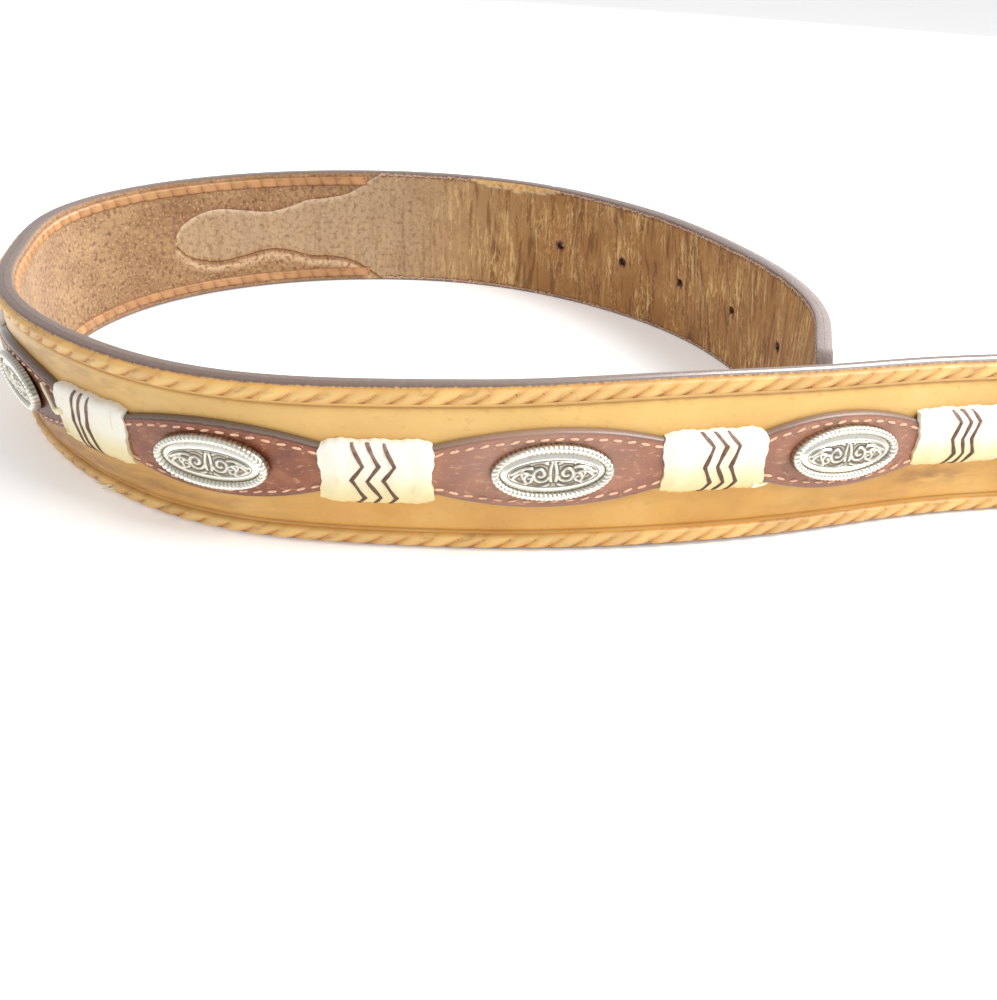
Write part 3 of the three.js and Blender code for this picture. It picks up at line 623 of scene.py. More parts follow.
def face_out(height):
    """The golden face: level along the borders, and between them a field that rolls up quickly to
    CROWN, with a tooled groove, 0.2 mm deep, where the two meet."""
    share = np.clip(np.abs(height - MIDDLE) / (MIDDLE - BORDER), 0, 1)
    groove = 0.2 * np.exp(-((np.abs(height - MIDDLE) - MIDDLE + BORDER) / 0.3) ** 2)
    return EDGE_OUT + CROWN * (1 - share**5) - groove


def lining_out(height):
    """The suede's face: flat."""
    return -EDGE_OUT + 0 * height


# %% Two leathers with their ends cut out
def cut_leather(tip_end, buckle_end, front_out, back_out, round_edge):
    """Grids of a full-height leather with both scallops cut out. Rows of points below and above the
    cut are clipped to its line, so the grid follows it. front_out(height) gives the surface, which
    drops in a quarter circle at every rim. Returns the sheet's parts and where the cut is."""
    tip_start, tip_stop = (share * STRAP_LENGTH for share in tip_end)
    buckle_start, buckle_stop = (share * STRAP_LENGTH for share in buckle_end)
    station = np.unique(np.concatenate([
        lines([buckle_stop, buckle_start - 8], 1.0),
        lines([buckle_start - 8, buckle_start + CUT_GAP], 0.5),
        lines([buckle_start + CUT_GAP, tip_start - CUT_GAP], 1.6),
        lines([tip_start - CUT_GAP, tip_start + 8], 0.5),
        lines([tip_start + 8, tip_stop], 1.0),
    ]))[:, None]
    half = np.where(station > (tip_start + buckle_start) / 2,
                    scallop_half(tip_end, station), scallop_half(buckle_end, station)) + CUT_GAP
    limit = np.maximum(MIDDLE - half, 0)
    plain = np.unique(np.concatenate([
        [0, 0.08, 0.3, round_edge], lines([BORDER - 0.6, BORDER + 0.6], 0.3),
        lines([round_edge, BORDER - 0.6], 1.3), lines([BORDER + 0.6, BORDER + 2.4], 0.6),
        lines([BORDER + 2.4, MIDDLE - 2], 1.4)]))
    near_cut = np.maximum(limit - np.array([0.3, 0.1, 0]), 0)
    lower = np.concatenate([np.minimum(plain, near_cut[:, :1]), near_cut], 1)
    between = MIDDLE - (MIDDLE - limit) * np.linspace(1, -1, 9)[1:-1]
    height = np.concatenate([lower, between, STRAP_HEIGHT - lower[:, ::-1]], 1)
    open_cut = (station > tip_start - CUT_GAP - 0.01) | (station < buckle_start + CUT_GAP + 0.01)
    to_cut = np.where(open_cut, np.abs(np.abs(height - MIDDLE) - (MIDDLE - limit)), 9.0)
    rim = np.minimum(height, STRAP_HEIGHT - height)
    side = np.sign(front_out(MIDDLE))
    out = front_out(height) - side * (edge_drop(rim, round_edge) + edge_drop(to_cut, 0.3))
    kept = np.ones((len(station) - 1, height.shape[1] - 1), bool)
    count = lower.shape[1]
    kept[(open_cut[:-1] & open_cut[1:])[:, 0], count - 1:height.shape[1] - count] = False
    front = belt_point(station, height, out)
    back = belt_point(station, height, back_out)
    return front, back, strap_uv(station, height), kept, rim, to_cut, station, height


*grids, rim, to_cut, station, height = cut_leather(
    TIP_OUTSIDE, BUCKLE_OUTSIDE, face_out, SEAM, FACE_ROUNDING)
# Brown smudges, and a painted shadow: the first patch lies under the fifth wrap.
# station, height, half length, half height, strength
SMUDGES_AND_SHADOW = [
    (383, 10.8, 10, 2.0, 1.2), (409, 7.5, 18, 1.8, 0.5), (640, 27, 60, 5, 0.8), (605, 8, 45, 5, 0.9),
    (556, 7.5, 30, 3, 0.6), (575, 31, 20, 2, 0.7), (700, 19, 60, 16, 0.5), (300, 19, 60, 14, 0.3),
    (180, 19, 60, 14, 0.35), (800, 19, 50, 14, 0.5),
]
dirt_and_shadow = np.clip(patches(station, height, SMUDGES_AND_SHADOW), 0, 1)
add_piece("golden_face", [sheet(*grids, rim=rim, tone=dirt_and_shadow)], golden,
          ["face_leather"])

*grids, rim, to_cut, station, height = cut_leather(
    TIP_INSIDE, BUCKLE_INSIDE, lining_out, -SEAM, LINING_ROUNDING)
# Painted light and shade along the tongue's edge: below it a dark line at the cut and a pale band about
# 2 mm further, above it darker suede.
painted_light_and_shade_below_tongue = np.exp(-(((to_cut - 2.0) / 1.3) ** 2)) * 0.8 - np.exp(-((to_cut / 0.8) ** 2))
painted_shade_above_tongue = -0.6 * np.exp(-((to_cut / 1.8) ** 2))
shade = np.where(height < MIDDLE, painted_light_and_shade_below_tongue, painted_shade_above_tongue)
add_piece("sueded_lining", [sheet(*grids, flip=True, rim=rim, tone=shade)], suede,
          ["lining"])

# %% [markdown]
# ## The tip's leather
# The worn brown end is two layers with five punched holes. Each hole is a square left out of the
# grid, and a smooth warp turns the square's border into a circle.

# %% The tip billet
HOLES = np.array([0.838, 0.8633, 0.889, 0.9165, 0.9455]) * STRAP_LENGTH
HOLE_RADIUS = {"inside": 1.3, "outside": 0.7}
TIP_CORNER = 6.0
WORN_START, WORN_SPAN = 0.765, 0.075
SLIVER_PLACE, SLIVER_REACH, SLIVER_HEIGHT = 845, 18, 3.2


def round_holes(station, height, radius):
    """Moves grid points near a hole so that squares round its middle become circles: a point at the
    square distance q and the true distance r moves by q / r, fading out to q = 3 hole radii."""
    along = station - HOLES[np.abs(station[..., None] - HOLES).argmin(-1)]
    up = height - MIDDLE
    square = np.maximum(np.abs(along), np.abs(up))
    true = np.maximum(np.hypot(along, up), 1e-9)
    fade = np.clip((3 * radius - square) / (2 * radius), 0, 1)
    change = 1 + fade * (square / true - 1)
    return station + along * (change - 1), MIDDLE + up * change, square


def clipped(plain, half):
    """Grid lines across a strip of changing half height, with three more lines close to each rim."""
    near_rim = half - np.array([0.4, 0.15, 0])
    inner = np.clip(plain, -near_rim[:, :1], near_rim[:, :1])
    return np.concatenate([-near_rim[:, ::-1], inner, near_rim], 1)


def billet_layer(end, outer, inner):
    """One layer of the billet, from its scallop's tip to the strap's end. Its half height is the
    scallop's, less the quarter circle at the strap's corners. Its tone runs from pale suede at the
    scallop to worn brown at the end inside, with a golden sliver along the upper edge, and is
    red-brown outside. Painted shade darkens the lips of the holes, and inside a painted highlight
    runs along the tongue's upper rim and painted shade along its lower rim."""
    start = end[0] * STRAP_LENGTH
    radius = HOLE_RADIUS["outside" if outer > 0 else "inside"]
    hole_breaks = [hole + side * radius for hole in HOLES for side in (-1, 1)]
    station = np.unique(np.concatenate([
        lines([start, start + 8], 0.5),
        lines([start + 8, hole_breaks[0]], 1.2),
        lines(hole_breaks, 0.7),
        lines([hole_breaks[-1], STRAP_LENGTH - TIP_CORNER], 1.2),
        STRAP_LENGTH - TIP_CORNER * (1 - np.sin(np.linspace(0, np.pi / 2, 12))),
    ]))[:, None]
    corner = np.clip((station - STRAP_LENGTH + TIP_CORNER) / TIP_CORNER, 0, 1)
    half = np.minimum(scallop_half(end, station),
                      MIDDLE - TIP_CORNER * (1 - np.sqrt(1 - corner**2)))
    side = lines([0, radius, 3 * radius, MIDDLE], 0.8)
    across = clipped(np.concatenate([-side[:0:-1], side]), half)
    to_cut = half - np.abs(across)
    station = np.broadcast_to(station, across.shape)
    station, height, square = round_holes(station, MIDDLE + across, radius)
    corners = [square[:-1, :-1], square[1:, 1:], square[1:, :-1], square[:-1, 1:]]
    kept = np.maximum.reduce(corners) > radius + 1e-6
    to_cut = np.minimum(to_cut, STRAP_LENGTH - station)
    drop = edge_drop(to_cut, 0.5) + edge_drop(np.abs(square - radius), 0.35)
    front = belt_point(station, height, outer - np.sign(outer) * drop)
    back = belt_point(station, height, inner)
    uv = strap_uv(station, height)
    near_side = np.maximum(TIP_CORNER - np.minimum(height, STRAP_HEIGHT - height), 0)
    near_end = np.maximum(TIP_CORNER - STRAP_LENGTH + station, 0)
    rim = TIP_CORNER - np.hypot(near_side, near_end)
    # Painted shade: the lips of the holes are laid dark.
    dark = np.clip(1.5 - (square - radius) / 0.5, 0, 1)
    if outer > 0:
        return sheet(front, back, uv, kept, rim=rim, tone=2.0 + dark)
    share = np.clip((station / STRAP_LENGTH - WORN_START) / WORN_SPAN, 0, 1)
    tone = smooth(share)
    # Painted light and shade on the tongue's rims: paler along the upper rim, darker along the lower
    # one.
    painted_tongue_rims = np.where(height > MIDDLE, -0.45 * np.exp(-((to_cut / 1.1) ** 2)), 0)
    painted_tongue_rims = painted_tongue_rims + np.where(height < MIDDLE, 0.6 * np.exp(-((to_cut / 0.8) ** 2)), 0)
    tone = tone + painted_tongue_rims * (1 - share)
    sliver = np.clip(1 - ((station - SLIVER_PLACE) / SLIVER_REACH) ** 2, 0, 1) ** 0.6 * SLIVER_HEIGHT
    tone = np.where(STRAP_HEIGHT - height < sliver, -1, tone)
    rim = np.where((STRAP_HEIGHT - height < sliver) & (rim > 0.5), 9.0, rim)
    tone = tone + (3 - tone) * dark
    return sheet(front, back, uv, kept, flip=True, rim=rim, tone=tone)


add_piece("tip_billet_leather", [
    billet_layer(TIP_INSIDE, -EDGE_OUT, -SEAM),
    billet_layer(TIP_OUTSIDE, EDGE_OUT - 0.05, SEAM),
], billet, ["tip_billet"])

# %% [markdown]
# ## The buckle's leather and the buckle
# The photograph hides this end, so it is plain: one strip of leather turns round the buckle's bar,
# with a slot for the prong.

# %% The buckle billet
BAR_ROOM = 2.57
LEATHER = 1.7
LEAF_OUT = 1.0
FOLD_START = 16.0
SLOT_HALF, SLOT_END = 3.5, 5.0
BROWN_START, BROWN_SPAN = 0.13, 0.05
OUTER_PATTERN_SHIFT = 300


def fold_path():
    """The fold's middle line seen from above, as station and out: from the lining's level a Bezier
    curve to the ring round the bar, round it, and mirrored back to the golden leather's level."""
    ring = BAR_ROOM + LEATHER / 2
    turn = np.radians(-73)
    start = np.array([FOLD_START, -LEAF_OUT])
    meet = ring * np.array([np.cos(turn), np.sin(turn)])
    tangent = np.array([-np.sin(turn), np.cos(turn)])
    t = np.linspace(0, 1, 17)[:-1, None]
    curve = ((1 - t)**3 * start + 3 * (1 - t)**2 * t * (start - [6, 0])
             + 3 * (1 - t) * t**2 * (meet + 4 * tangent) + t**3 * meet)
    angle = np.linspace(turn, -np.pi, 17)
    arc = ring * np.stack([np.cos(angle), np.sin(angle)], 1)
    inside = np.concatenate([curve, arc])
    return np.concatenate([inside, inside[-2::-1] * [1, -1]])


def leaf_stations(end):
    """Stations of a flat leaf from the fold to its scallop's tip, closer together at the tip."""
    tip = end[0] * STRAP_LENGTH
    return np.unique(np.concatenate([lines([FOLD_START, tip - 8], 1.4), lines([tip - 8, tip], 0.5)]))


leaf_in = leaf_stations(BUCKLE_INSIDE)[:0:-1]
leaf_out = leaf_stations(BUCKLE_OUTSIDE)[1:]
path = np.concatenate([
    np.stack([leaf_in, np.full(len(leaf_in), -LEAF_OUT)], 1), fold_path(),
    np.stack([leaf_out, np.full(len(leaf_out), LEAF_OUT)], 1),
])
along = np.gradient(path, axis=0)
normal = unit(np.stack([along[:, 1], -along[:, 0]], 1))
half = np.where(path[:, 1] < 0, scallop_half(BUCKLE_INSIDE, path[:, 0]),
                scallop_half(BUCKLE_OUTSIDE, path[:, 0]))[:, None]
side = lines([0, SLOT_HALF, MIDDLE], 1.2)
across = clipped(np.concatenate([-side[:0:-1], side]), half)
to_cut = half - np.abs(across)
deep = path[:, None] - normal[:, None] * (LEATHER / 2 - edge_drop(to_cut, 0.5))[..., None]
shallow = path[:, None] + normal[:, None] * (LEATHER / 2 - SEAM) * np.ones_like(to_cut)[..., None]
near_bar = np.abs(path[:, 0]) < SLOT_END
slot_cells = np.abs(across[:-1, :-1] + across[:-1, 1:]) / 2 < SLOT_HALF
kept = ~((near_bar[:-1] & near_bar[1:])[:, None] & slot_cells)
height = MIDDLE + across
front = belt_point(deep[..., 0], height, deep[..., 1])
back = belt_point(shallow[..., 0], height, shallow[..., 1])
uv = strap_uv(path[:, :1] + OUTER_PATTERN_SHIFT * (path[:, 1:] > 0), height)
rim = np.minimum(height, STRAP_HEIGHT - height)
share = np.clip((BROWN_START - path[:, :1] / STRAP_LENGTH) / BROWN_SPAN, 0, 1)
tone = np.where(path[:, 1:] > 0, 2.0, share * (1 + (path[:, :1] < 0))) + 0 * height
add_piece("buckle_billet_leather", [sheet(front, back, uv, kept, flip=True, rim=rim, tone=tone)],
          billet, ["buckle_billet"])

# %% The buckle
BUCKLE_REACH, BUCKLE_HALF, BUCKLE_CORNER = 30.4, 21.5, 3.3
WIRE_WIDTH, WIRE_DEPTH = 3.4, 3.0
PRONG_REACH, PRONG_ROOT, PRONG_TIP, PRONG_DEPTH = 31.6, 4.0, 2.8, 1.9


def rod(path, across_axis, width, depth, sides=16):
    """A rod with a rounded section along a path. Its section is a superellipse of power 3."""
    other = np.cross(unit(np.gradient(path, axis=0)), across_axis)
    angle = circle(sides)
    c, s = np.cos(angle), np.sin(angle)
    size = (np.abs(c)**3 + np.abs(s)**3) ** (-1 / 3)
    width = np.broadcast_to(width, len(path))[:, None, None]
    depth = np.broadcast_to(depth, len(path))[:, None, None]
    return (path[:, None] + other[:, None] * (c * size)[:, None] * width / 2
            + np.asarray(across_axis) * (s * size)[:, None] * depth / 2)


corner_angle = np.linspace(0, np.pi / 2, 9)
quarter = np.stack([np.cos(corner_angle), np.sin(corner_angle)], 1) * BUCKLE_CORNER
inner_x, inner_y = BUCKLE_REACH - BUCKLE_CORNER, BUCKLE_HALF - BUCKLE_CORNER
loop = np.concatenate([
    quarter + [inner_x, inner_y],
    quarter[::-1] * [-1, 1] + [BUCKLE_CORNER, inner_y],
    quarter * [-1, -1] + [BUCKLE_CORNER, -inner_y],
    quarter[::-1] * [1, -1] + [inner_x, -inner_y],
])
loop = np.column_stack([loop, np.zeros(len(loop))])
loop = np.concatenate([loop[-1:], loop, loop[:2]])
tube = rod(loop, (0, 0, 1.0), WIRE_WIDTH, WIRE_DEPTH)[1:-1]
rows = np.arange(len(tube))[:, None] * 3.0
frame_uv = strap_uv(rows, np.arange(tube.shape[1])[None] * 0.6)
frame_skin = sheet(place_rigid(tube, 0, MIDDLE, 0), place_rigid(tube, 0, MIDDLE, 0), frame_uv)
cells = (tube.shape[0] - 1) * (tube.shape[1] - 1)
prong_x = np.linspace(0, PRONG_REACH, 20)
prong_line = np.stack([prong_x, 0 * prong_x, 2.5 + 0.5 * np.sin(np.pi * prong_x / PRONG_REACH)], 1)
prong = rod(prong_line, (0, 1.0, 0), PRONG_DEPTH, np.linspace(PRONG_ROOT, PRONG_TIP, 20))
prong_uv = strap_uv(prong_x[:, None], np.arange(prong.shape[1])[None] * 0.6)
add_piece("buckle_frame", [
    tuple(part[:cells] for part in frame_skin),
    skin(place_rigid(prong, 0, MIDDLE, 0), prong_uv),
], steel, ["buckle"])

# %% [markdown]
# ## Lace along the edges
# The edges are bound with flat lace whose slanted turns lie side by side like a rope. The strip's
# surface rises and falls with the turns, so one formula makes hundreds of them.

# %% Lace turns
LACES = {
    "face_lace": {
        "piece": "face_lace_turns", "leather": face_lace, "ends": [BUCKLE_OUTSIDE, TIP_OUTSIDE],
        "back": 1.86, "margin": 0.6, "stop": 0.88, "width": 3.4, "rise": 1.1, "pitch": 5.4,
        "slant": 1.5, "open": 0.95, "flat": 0.1},
    "lining_lace": {
        "piece": "lining_lace_stitches", "leather": lining_lace, "ends": [BUCKLE_INSIDE, TIP_INSIDE],
        "back": -1.86, "margin": 1.6, "stop": 0.93, "width": 2.9, "rise": 0.8, "pitch": 5.1,
        "slant": 0.4, "open": 0.3, "flat": 0.22},
}


def lace_strip(low, lace):
    """A strip of slanted turns. Across, it is a rounded hump. Along, each turn is a half ellipse of
    the phase (station + slant x distance up) / pitch, raised to a power that grows by open towards
    the lower side, so that the gaps between turns widen there to dark triangles. It ends where the
    scallops have grown to the share stop of their way."""
    ends = [(tip + (full - tip) * lace["stop"]) * STRAP_LENGTH for tip, full in lace["ends"]]
    start, stop = sorted(ends)
    back = lace["back"]
    station = np.linspace(start, stop, int((stop - start) / lace["pitch"] * 11))[:, None]
    across = np.linspace(-1, 1, 10)
    height = low + lace["width"] * (across + 1) / 2
    phase = (station + lace["slant"] * lace["width"] * across / 2) / lace["pitch"]
    turn = 2 * np.mod(phase, 1) - 1
    power = lace["flat"] + lace["open"] * ((1 - across) / 2) ** 1.6
    bulge = np.clip(1 - turn**2, 0, 1) ** power
    hump = np.clip(1 - across**4, 0, 1) ** 0.5
    out = back + np.sign(back) * (0.04 + (lace["rise"] - 0.04) * hump * (0.45 + 0.55 * bulge))
    front = belt_point(station, height, out)
    rear = belt_point(station, height, back)
    uv = np.stack(np.broadcast_arrays(phase, across * 0.4), -1)
    # The level the lace's colour reads: low in the gaps and towards the lace's edges for painted shade,
    # highest on the crests for a painted highlight.
    level = bulge * (0.6 + 0.4 * hump)
    return sheet(front, rear, uv, flip=back < 0, rim=level)


for node, lace in LACES.items():
    upper_low = STRAP_HEIGHT - lace["margin"] - lace["width"]
    for edge, low in (("bottom", lace["margin"]), ("top", upper_low)):
        add_piece(f"{lace['piece']}_{edge}", [lace_strip(low, lace)], lace["leather"],
                  [f"{node}_{edge}"], sharp=60)

# %% [markdown]
# ## The centre strip
# A thick strip of chestnut leather runs under the wraps and swells to a lens shape under each concho.
# Two rows of thread stitches follow its edges.

# %% The centre strip and its stitches
WRAP_LENGTH, WRAP_HEIGHT = 22.3, 14.0
NECK, BELLY, TAIL = 11.0, 17.5, 3.5
STRIP_BACK, STRIP_TOP, STRIP_ROUNDING = 2.75, 4.25, 1.1


def strip_half(station):
    """Half the strip's height: level under the wraps, a parabola from wrap to wrap."""
    i = np.clip(np.searchsorted(WRAPS, station) - 1, 0, len(WRAPS) - 2)
    middle = (WRAPS[i] + WRAPS[i + 1]) / 2
    reach = (WRAPS[i + 1] - WRAPS[i]) / 2 - WRAP_LENGTH / 2
    share = np.clip(np.abs(station - middle) / reach, 0, 1)
    return NECK / 2 + (BELLY - NECK) / 2 * (1 - share**2)


strip_start = WRAPS[0] - WRAP_LENGTH / 2 - TAIL
strip_stop = WRAPS[-1] + WRAP_LENGTH / 2 + TAIL
station = lines([strip_start, strip_stop], 0.9)[:, None]
half = strip_half(station)
rim_lines = np.array([0, 0.1, 0.35, 0.7, STRIP_ROUNDING])
across = np.concatenate([
    rim_lines - half, np.linspace(-1, 1, 15) * (half - 1.4), (half - rim_lines)[:, ::-1]], 1)
rim = half - np.abs(across)
height = STRIP_LINE + across
strip_back = np.minimum(STRIP_BACK, face_out(height) + 0.1)
# Painted sheen: the strip is laid lighter round the fifth and sixth conchos.
shine = patches(station, height, [(474, 22, 22, 12, 0.5), (408, 22, 20, 12, 0.35)])
add_piece("chestnut_strip", [sheet(
    belt_point(station, height, STRIP_TOP - edge_drop(rim, STRIP_ROUNDING)),
    belt_point(station, height, strip_back), strap_uv(station, height), rim=rim, tone=shine)],
    chestnut, ["centre_strip"])

STITCH_PITCH, STITCH_LENGTH, STITCH_INSET = 3.0, 2.0, 1.8
THREAD_RADIUS = 0.3
clear = WRAP_LENGTH / 2 + 1.2
gaps = zip(WRAPS[:-1] + clear, WRAPS[1:] - clear)
places = np.concatenate([lines([low, high], STITCH_PITCH) for low, high in gaps])
u = np.linspace(-1, 1, 7)[:, None]
v = circle(6)[None]
girth = THREAD_RADIUS * np.sqrt(1 - u**2) ** 0.6
stitches = []
for side in (-1, 1):
    for index, place in enumerate(places):
        tilt = 0.12 * np.sin(2.4 * index) - 0.1
        stitch_station = place + u * STITCH_LENGTH / 2 + 0 * v
        line_height = STRIP_LINE + side * (strip_half(stitch_station) - STITCH_INSET)
        stitch_height = line_height + tilt * u + girth * np.cos(v)
        stitch_out = STRIP_TOP + 0.08 + girth * np.sin(v)
        stitches.append(skin(belt_point(stitch_station, stitch_height, stitch_out),
                             strap_uv(stitch_station, stitch_height)))
add_piece("strip_stitches", stitches, thread)

# %% [markdown]
# ## Rawhide wraps
# Wet rawhide is wrapped round the strip and shrinks as it dries, so each wrap is a tight hump with
# soft, uneven edges. Three brown sinews zigzag over it. The wraps that the photograph shows differ a
# little in height and in where their sinews lie.

# %% Rawhide wraps
WRAP_TOP, RAWHIDE, WRAP_WALL = 5.5, 1.1, 0.9
# The middle's height and the full height of the wraps that the photograph shows, by their number
WRAP_SHAPES = {4: (21.0, 13.4), 5: (19.9, 13.4), 6: (19.4, 14.4), 7: (20.0, 14.2)}


def wrap_out(station, height, middle, line_height, full_height):
    """A wrap's outer surface: a superellipse of power 3.5 across, from the golden face to its crest,
    drawn in at its two ends, with slow waves along it where the rawhide's turns lie."""
    across = np.clip(np.abs(height - line_height) / (full_height / 2), 0, 1)
    foot = face_out(line_height + full_height / 2) + 0.05
    end = np.clip(np.abs(station - middle) / (WRAP_LENGTH / 2), 0, 1)
    waves = 1 + np.sin(station * 1.1 + 0.7 * np.sin(height * 0.5 + middle) + middle)
    crest = WRAP_TOP - 0.5 * end**6 - 0.13 * waves
    return foot + (crest - foot) * (1 - across**3.5) ** (1 / 3.5)


for index, middle in enumerate(WRAPS):
    line_height, full_height = WRAP_SHAPES.get(index, (STRIP_LINE, WRAP_HEIGHT))
    u = np.linspace(-1, 1, 41)[:, None]
    angle = np.linspace(-np.pi / 2, np.pi / 2, 27)[None]
    height = line_height + full_height / 2 * np.sin(angle)
    ragged = 0.3 * np.sin(height * 0.7 + middle) + 0.12 * np.sin(height * 2.3 + 2 * middle)
    station = middle + u * WRAP_LENGTH / 2 + u**9 * ragged
    out = wrap_out(station, height, middle, line_height, full_height)
    frill = 0.16 * np.sin(station * 0.9 + middle) + 0.1 * np.sin(station * 2.9 + 3 * middle)
    corner = 0.8 * u**12
    shown_height = height + np.sin(angle) ** 9 * (frill - corner)
    inner_height = line_height + (full_height / 2 - WRAP_WALL) * np.sin(angle) + 0 * station
    inner_out = np.maximum(out - RAWHIDE, face_out(inner_height) + 0.04)
    # Painted light: the share of the height, which the rawhide's colour reads as paler towards the top.
    tone = np.clip((height - line_height) / full_height + 0.5, 0, 1) + 0 * station
    wrap = sheet(belt_point(station, shown_height, out),
                 belt_point(station, inner_height, inner_out),
                 strap_uv(station, shown_height), tone=tone)
    add_piece(f"rawhide_{index + 1}", [wrap], rawhide, [f"rawhide_wrap_{index + 1}"],
              sharp=50)

# %% Sinews
SINEW_WIDTH = 0.9
# Shift along the wrap, spacing, size of a swing, and the zigzag as (share of the height, swing)
SINEWS = {
    4: (-0.4, 2.4, 0.6, [(0.01, 1.8), (0.24, -1), (0.5, 1), (0.8, -1), (0.99, 2.4)]),
    5: (-1.2, 2.8, 0.85, [(0.01, 1.4), (0.17, -0.8), (0.44, 1), (0.77, -1), (0.99, 1.9)]),
    6: (0.6, 3.15, 1.15, [(0.01, 0.1), (0.14, -1.2), (0.43, 1), (0.66, -1), (0.99, 0.9)]),
    7: (1.5, 2.4, 0.6, [(0.01, -2.0), (0.2, -0.6), (0.5, 1), (0.72, 0), (0.99, -1)]),
}
sinews = []
for index, middle in enumerate(WRAPS):
    line_height, full_height = WRAP_SHAPES.get(index, (STRIP_LINE, WRAP_HEIGHT))
    shift, pitch, swing_size, zigzag = SINEWS.get(index, SINEWS[6])
    zigzag = np.array(zigzag)
    for offset in (-pitch, 0, pitch):
        t = np.linspace(0, 4, 41)
        k = np.clip(t.astype(int), 0, 3)
        share, swing = (zigzag[k] + (zigzag[k + 1] - zigzag[k]) * (t - k)[:, None]).T
        centre = middle + shift + offset + swing_size * swing
        around = circle(8)[None]
        fat = SINEW_WIDTH / 2 * (1 + 0.18 * np.sin(5 * t + offset))[:, None]
        ring_station = centre[:, None] + fat * np.cos(around)
        ring_height = line_height + full_height * (share[:, None] - 0.5) + 0 * around
        ring_out = wrap_out(ring_station, ring_height, middle, line_height, full_height)
        ring_out = ring_out + 0.02 + 0.24 * np.sin(around)
        sinews.append(skin(belt_point(ring_station, ring_height, ring_out),
                           # Painted light: tone is the share of the height, lighter towards the top.
                           strap_uv(ring_station, ring_height), tone=share[:, None]))
add_piece("zigzag_sinews", sinews, sinew)

# %% [markdown]
# ## Loose ends
# Two wraps end in a twisted tail of rawhide, and the lower lace is frayed in one place. A tail is a
# tube of shrinking girth along a short curve in strap coordinates.

# %% Loose ends
def tail(points, girth):
    """A tube along a cubic curve through (station, height, out) points, its girth falling to a third
    along it, with a twist of small waves."""
    points = np.asarray(points, float)
    t = np.linspace(0, len(points) - 1, 25)
    rows = [np.column_stack([np.arange(len(points)), points[:, k]]) for k in range(3)]
    place = np.stack([read_table(row, t) for row in rows], -1)
    share = t / t[-1]
    radius = girth * (1 - 0.67 * share) * (1 + 0.2 * np.sin(9 * share))
    around = circle(8)
    along = unit(np.gradient(place, axis=0))
    first = unit(np.cross(along, (0, 0, 1.0)))
    second = np.cross(along, first)
    ring = (place[:, None] + radius[:, None, None] * (
        np.cos(around)[:, None] * first[:, None] + np.sin(around)[:, None] * second[:, None]))
    uv = strap_uv(ring[..., 0], ring[..., 1])
    return skin(belt_point(ring[..., 0], ring[..., 1], ring[..., 2]), uv, tone=0.4)


edge = WRAPS[7] + WRAP_LENGTH / 2
low_corner = WRAPS[5] - WRAP_LENGTH / 2
add_piece("rawhide_tails", [
    tail([(edge - 2, 20.5, 5.0), (edge + 1.5, 19.5, 4.9), (edge + 3.2, 22.5, 4.9), (edge + 5, 25, 4.7)],
         0.8),
    tail([(edge - 2, 15.5, 4.6), (edge - 0.4, 13.2, 3.6), (edge - 1.0, 11.8, 3.0)], 0.8),
    tail([(edge - 4.2, 14.2, 4.0), (edge - 3.4, 12.4, 3.2), (edge - 4.0, 11.4, 2.9)], 0.6),
    tail([(low_corner + 2.5, 14.4, 4.4), (low_corner + 0.6, 13.6, 3.8), (low_corner - 2, 13.9, 3.2)],
         0.8),
], rawhide)
add_piece("frayed_lace", [
    tail([(572, 2.5, 2.6), (575, 1.6, 3.2), (578, 1.4, 3.4)], 0.25),
    tail([(571, 2.2, 2.6), (573.5, 1.2, 3.3), (575, 0.9, 3.6)], 0.22),
    tail([(570, 2.0, 2.6), (572, 1.2, 3.1), (572.5, 0.8, 3.4)], 0.18),
], rawhide)

# %% [markdown]
# ## Conchos
# Each concho is a pressed oval of nickel silver: a twisted rope edge, a plain bevel, a thin groove
# and a scroll centre on a darkened ground. The scroll is a plain western one of spirals and
# leaves. Every stroke is a curve, and the relief at a place depends on its distance from them.

# %% The scroll
CONCHO_LENGTH, CONCHO_HEIGHT, ROPE_EDGE = 25.4, 12.6, 1.8
GROOVE_INSET, GROUND_INSET = 3.35, 3.5


def spiral(centre, start, turns, outer, inner):
    """A stroke that winds inwards: its radius falls evenly from outer to inner."""
    t = np.linspace(0, 1, 50)
    angle = np.radians(start) + turns * 2 * np.pi * t
    radius = outer + (inner - outer) * t
    return np.stack([centre[0] + radius * np.cos(angle), centre[1] + radius * np.sin(angle)], 1)


def leaf(start, bend, end):
    """A stroke along a quadratic Bezier curve."""
    t = np.linspace(0, 1, 24)[:, None]
    return ((1 - t)**2 * np.array(start, float) + 2 * (1 - t) * t * np.array(bend, float)
            + t**2 * np.array(end, float))


# Each stroke and its half width
STROKES = [
    (spiral((2.7, 0.2), 200, 1.3, 1.9, 0.4), 0.26),
    (spiral((5.0, -0.9), 120, -1.1, 1.2, 0.3), 0.22),
    (leaf((4.4, 1.5), (6.4, 1.9), (8.6, 0.3)), 0.26),
    (leaf((5.2, 0.4), (7.0, 1.0), (8.0, -0.3)), 0.24),
    (leaf((5.6, -2.0), (7.2, -1.8), (8.4, -0.7)), 0.24),
    (leaf((1.2, 2.4), (2.6, 3.2), (4.4, 2.4)), 0.22),
    (leaf((1.0, -2.2), (2.8, -3.2), (4.6, -2.4)), 0.24),
    (leaf((0.5, -1.4), (0.9, 0.6), (0.3, 2.6)), 0.24),
    (leaf((6.2, 1.3), (6.8, 0.4), (6.2, -0.6)), 0.2),
]


